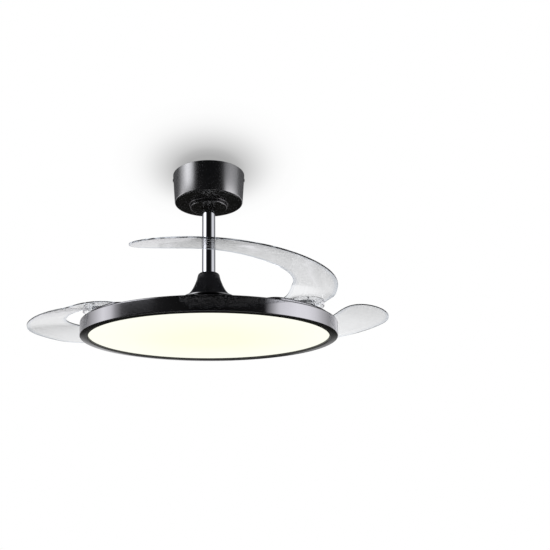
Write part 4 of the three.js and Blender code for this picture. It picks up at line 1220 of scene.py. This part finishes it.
# the shade round the canopy: share of its reach, level
SHADE = (
    (0.25, 0.41), (0.32, 0.48), (0.39, 0.6), (0.46, 0.69), (0.54, 0.785), (0.61, 0.86),
    (0.68, 0.92), (0.75, 0.956), (0.82, 0.98), (0.89, 0.987), (1.0, 1.0),
)
SHADE_REACH, SHADE_RADII = 0.28, (0, 0.1, 0.2, 0.32)
FLOOR_RADII = (0, 1.0, 2.2, 3.6)
WHITE = (1, 1, 1, 1)


def round_ramp(tree, value, stops, tint=(1, 1, 1)):
    """A ramp round the fan, its stops in degrees from the front."""
    return ramp(tree, value, [((degrees + 180) / 360, level) for degrees, level in stops],
                tint)


def light_path(tree):
    """What kind of ray looks."""
    return add_node(tree, "LightPath").outputs


def seen_straight(tree):
    """Whether the camera sees it, also through clear plastic."""
    path = light_path(tree)
    return calc(tree, "MAXIMUM", path["Is Camera Ray"], path["Is Transmission Ray"])


def studio_world(studio):
    """White behind the fan; soft boxes on the left and right in reflections."""
    world = bpy.data.worlds.new("studio")
    bpy.context.scene.world = world
    world.use_nodes = True
    world.cycles.sampling_method = "NONE"
    tree = world.node_tree
    plain = plug(tree, tree.nodes["Background"], {
        "Color": WHITE, "Strength": studio.fill_light})
    way = add_node(tree, "TexCoord").outputs["Generated"]
    parts = add_node(tree, "SeparateXYZ", {0: way}).outputs
    around = calc(tree, "ARCTAN2", parts["X"], calc(tree, "MULTIPLY", parts["Y"], -1.0))
    share = remap(tree, around, -math.pi, math.pi)

    def over(reach, below, above):
        return mixed(tree, remap(tree, parts["Z"], *reach), below, above)

    sides = over(TO_UPPER, round_ramp(tree, share, LOWER, LOWER_TINT),
                 round_ramp(tree, share, UPPER, UPPER_TINT))
    below = over(TO_LIP, UNDERFOOT, round_ramp(tree, share, FAR_LIP))
    boxes = over(TO_LOWER, below, over(TO_OVERHEAD, sides, OVERHEAD))
    gloss = add_node(tree, "Background", {
        "Color": boxes, "Strength": studio.reflected_light})
    white = add_node(tree, "Background", {"Color": WHITE, "Strength": 1.0})
    # a ray that was mirrored once and then went through a blade is still a mirrored one
    path = light_path(tree)
    mirrored = calc(tree, "COMPARE", path["Glossy Depth"], 1.0, 0.1)
    through = calc(tree, "SUBTRACT", path["Is Transmission Ray"], mirrored)
    seen = calc(tree, "MAXIMUM", path["Is Camera Ray"], through)
    glossy = calc(tree, "MAXIMUM", path["Is Glossy Ray"], mirrored)
    look = mix_shader(tree, seen, mix_shader(tree, glossy, plain, gloss), white)
    plug(tree, tree.nodes["World Output"], {"Surface": look.outputs[0]})


def stage_disc(name, radii, height):
    """A flat disc of the stage."""
    return turned(name, [(radius, height) for radius in radii])


def shadow_patch():
    """The soft grey shade on the ceiling round the canopy, seen from below only."""
    patch = stage_disc("ceiling_shade", SHADE_RADII, 1.2 * MM)
    made, tree, shader, place = material("ceiling_shade")
    tree.nodes.remove(shader)
    reach = distance(tree, mapped(tree, place, location=(0.0, 0.02, 0.0),
                                  scale=(1.4, 1.0, 0.0)))
    fade = ramp(tree, remap(tree, reach, 0.0, SHADE_REACH), SHADE)
    glow = add_node(tree, "Emission", {"Color": fade, "Strength": 1.0})
    back = add_node(tree, "NewGeometry").outputs["Backfacing"]
    below = calc(tree, "MULTIPLY", seen_straight(tree), calc(tree, "SUBTRACT", 1.0, back))
    look = mix_shader(tree, below, add_node(tree, "BsdfTransparent"), glow)
    plug(tree, tree.nodes["Material Output"], {"Surface": look.outputs[0]})
    patch.data.materials.append(made)
    if patch.data.polygons[0].normal.z > 0:
        edited(patch, bpy.ops.mesh.flip_normals)


def pale_floor(studio):
    """A pale round floor far below, which keeps the fan's soft shadow."""
    floor = stage_disc("floor", FLOOR_RADII, -studio.floor_depth)
    made, tree, shader, _ = material("pale_floor")
    plug(tree, shader, {
        "Base Color": (0.6, 0.6, 0.6, 1), "Roughness": 0.9, "Specular IOR Level": 0.0})
    glow = add_node(tree, "Emission", {"Color": WHITE, "Strength": 0.62})
    total = add_node(tree, "AddShader", {0: shader.outputs[0], 1: glow.outputs[0]})
    look = mix_shader(tree, seen_straight(tree), shader, total)
    plug(tree, tree.nodes["Material Output"], {"Surface": look.outputs[0]})
    floor.data.materials.append(made)


def soft_box(name, place, size, power):
    """A large soft lamp, aimed at the fan, that lights but isn't seen in reflections."""
    bpy.ops.object.light_add(type="AREA", location=place)
    lamp = bpy.context.object
    lamp.name = name
    lamp.data.shape = "RECTANGLE"
    lamp.data.size, lamp.data.size_y = size
    lamp.data.energy = power
    lamp.visible_glossy = lamp.visible_transmission = False
    aim = Vector((0, 0, -0.25)) - Vector(place)
    lamp.rotation_euler = aim.to_track_quat("-Z", "Y").to_euler()


class FAN_OT_studio(bpy.types.Operator):
    """Makes the floor, the ceiling's shade, the lamps, the background and the camera"""

    bl_idname = "fan.studio"
    bl_label = "Studio"

    def execute(self, context):
        scene = context.scene
        studio = scene.fan_studio
        scene.view_settings.view_transform = "Standard"
        studio_world(studio)
        pale_floor(studio)
        shadow_patch()
        start()
        soft_box("left_soft_box", (-1.5, -1.3, 0.3), (1.4, 1.8), 14)
        soft_box("right_soft_box", (1.6, -1.2, 0.4), (1.4, 1.8), 14)
        soft_box("top_soft_box", (0.0, 0.3, 1.6), (2.2, 2.2), 10)
        bpy.ops.object.camera_add(
            location=(0, -studio.camera_distance, -studio.camera_depth),
            rotation=(math.pi / 2 + studio.camera_pitch, 0, 0))
        camera = context.object
        camera.name = "camera"
        view = camera.data
        view.sensor_width, view.lens = 36, studio.lens
        view.shift_x, view.shift_y = studio.camera_shift, studio.camera_rise
        view.clip_start, view.clip_end = 0.01, 100
        scene.camera = camera
        return {"FINISHED"}


# ---------------------------------------------------------------- panel and start

OPERATORS = (
    FAN_OT_studio, FAN_OT_bracket, FAN_OT_canopy, FAN_OT_downrod, FAN_OT_motor,
    FAN_OT_carrier, FAN_OT_pivots, FAN_OT_blades, FAN_OT_lamp, FAN_OT_inner_parts,
)
GROUPS = {"fan_sizes": FanSizes, "fan_finishes": FanFinishes, "fan_studio": FanStudio}


class FAN_PT_panel(bpy.types.Panel):
    """Lists the fan's settings and pieces"""

    bl_idname = "FAN_PT_panel"
    bl_label = "Ceiling Fan"
    bl_space_type = "VIEW_3D"
    bl_region_type = "UI"
    bl_category = "Ceiling Fan"

    def draw(self, context):
        for group in GROUPS:
            column = self.layout.column(align=True)
            settings = getattr(context.scene, group)
            for key in settings.__annotations__:
                column.prop(settings, key)
        for operator in OPERATORS:
            self.layout.operator(operator.bl_idname)


def register():
    for group in GROUPS.values():
        bpy.utils.register_class(group)
    for name, group in GROUPS.items():
        setattr(bpy.types.Scene, name, bpy.props.PointerProperty(type=group))
    for cls in (*OPERATORS, FAN_PT_panel):
        bpy.utils.register_class(cls)


def unregister():
    for cls in (FAN_PT_panel, *reversed(OPERATORS)):
        bpy.utils.unregister_class(cls)
    for name, group in reversed(GROUPS.items()):
        delattr(bpy.types.Scene, name)
        bpy.utils.unregister_class(group)


def main():
    register()
    for operator in OPERATORS:
        family, name = operator.bl_idname.split(".")
        getattr(getattr(bpy.ops, family), name)()
    bpy.context.view_layer.update()


if __name__ == "__main__":
    main()
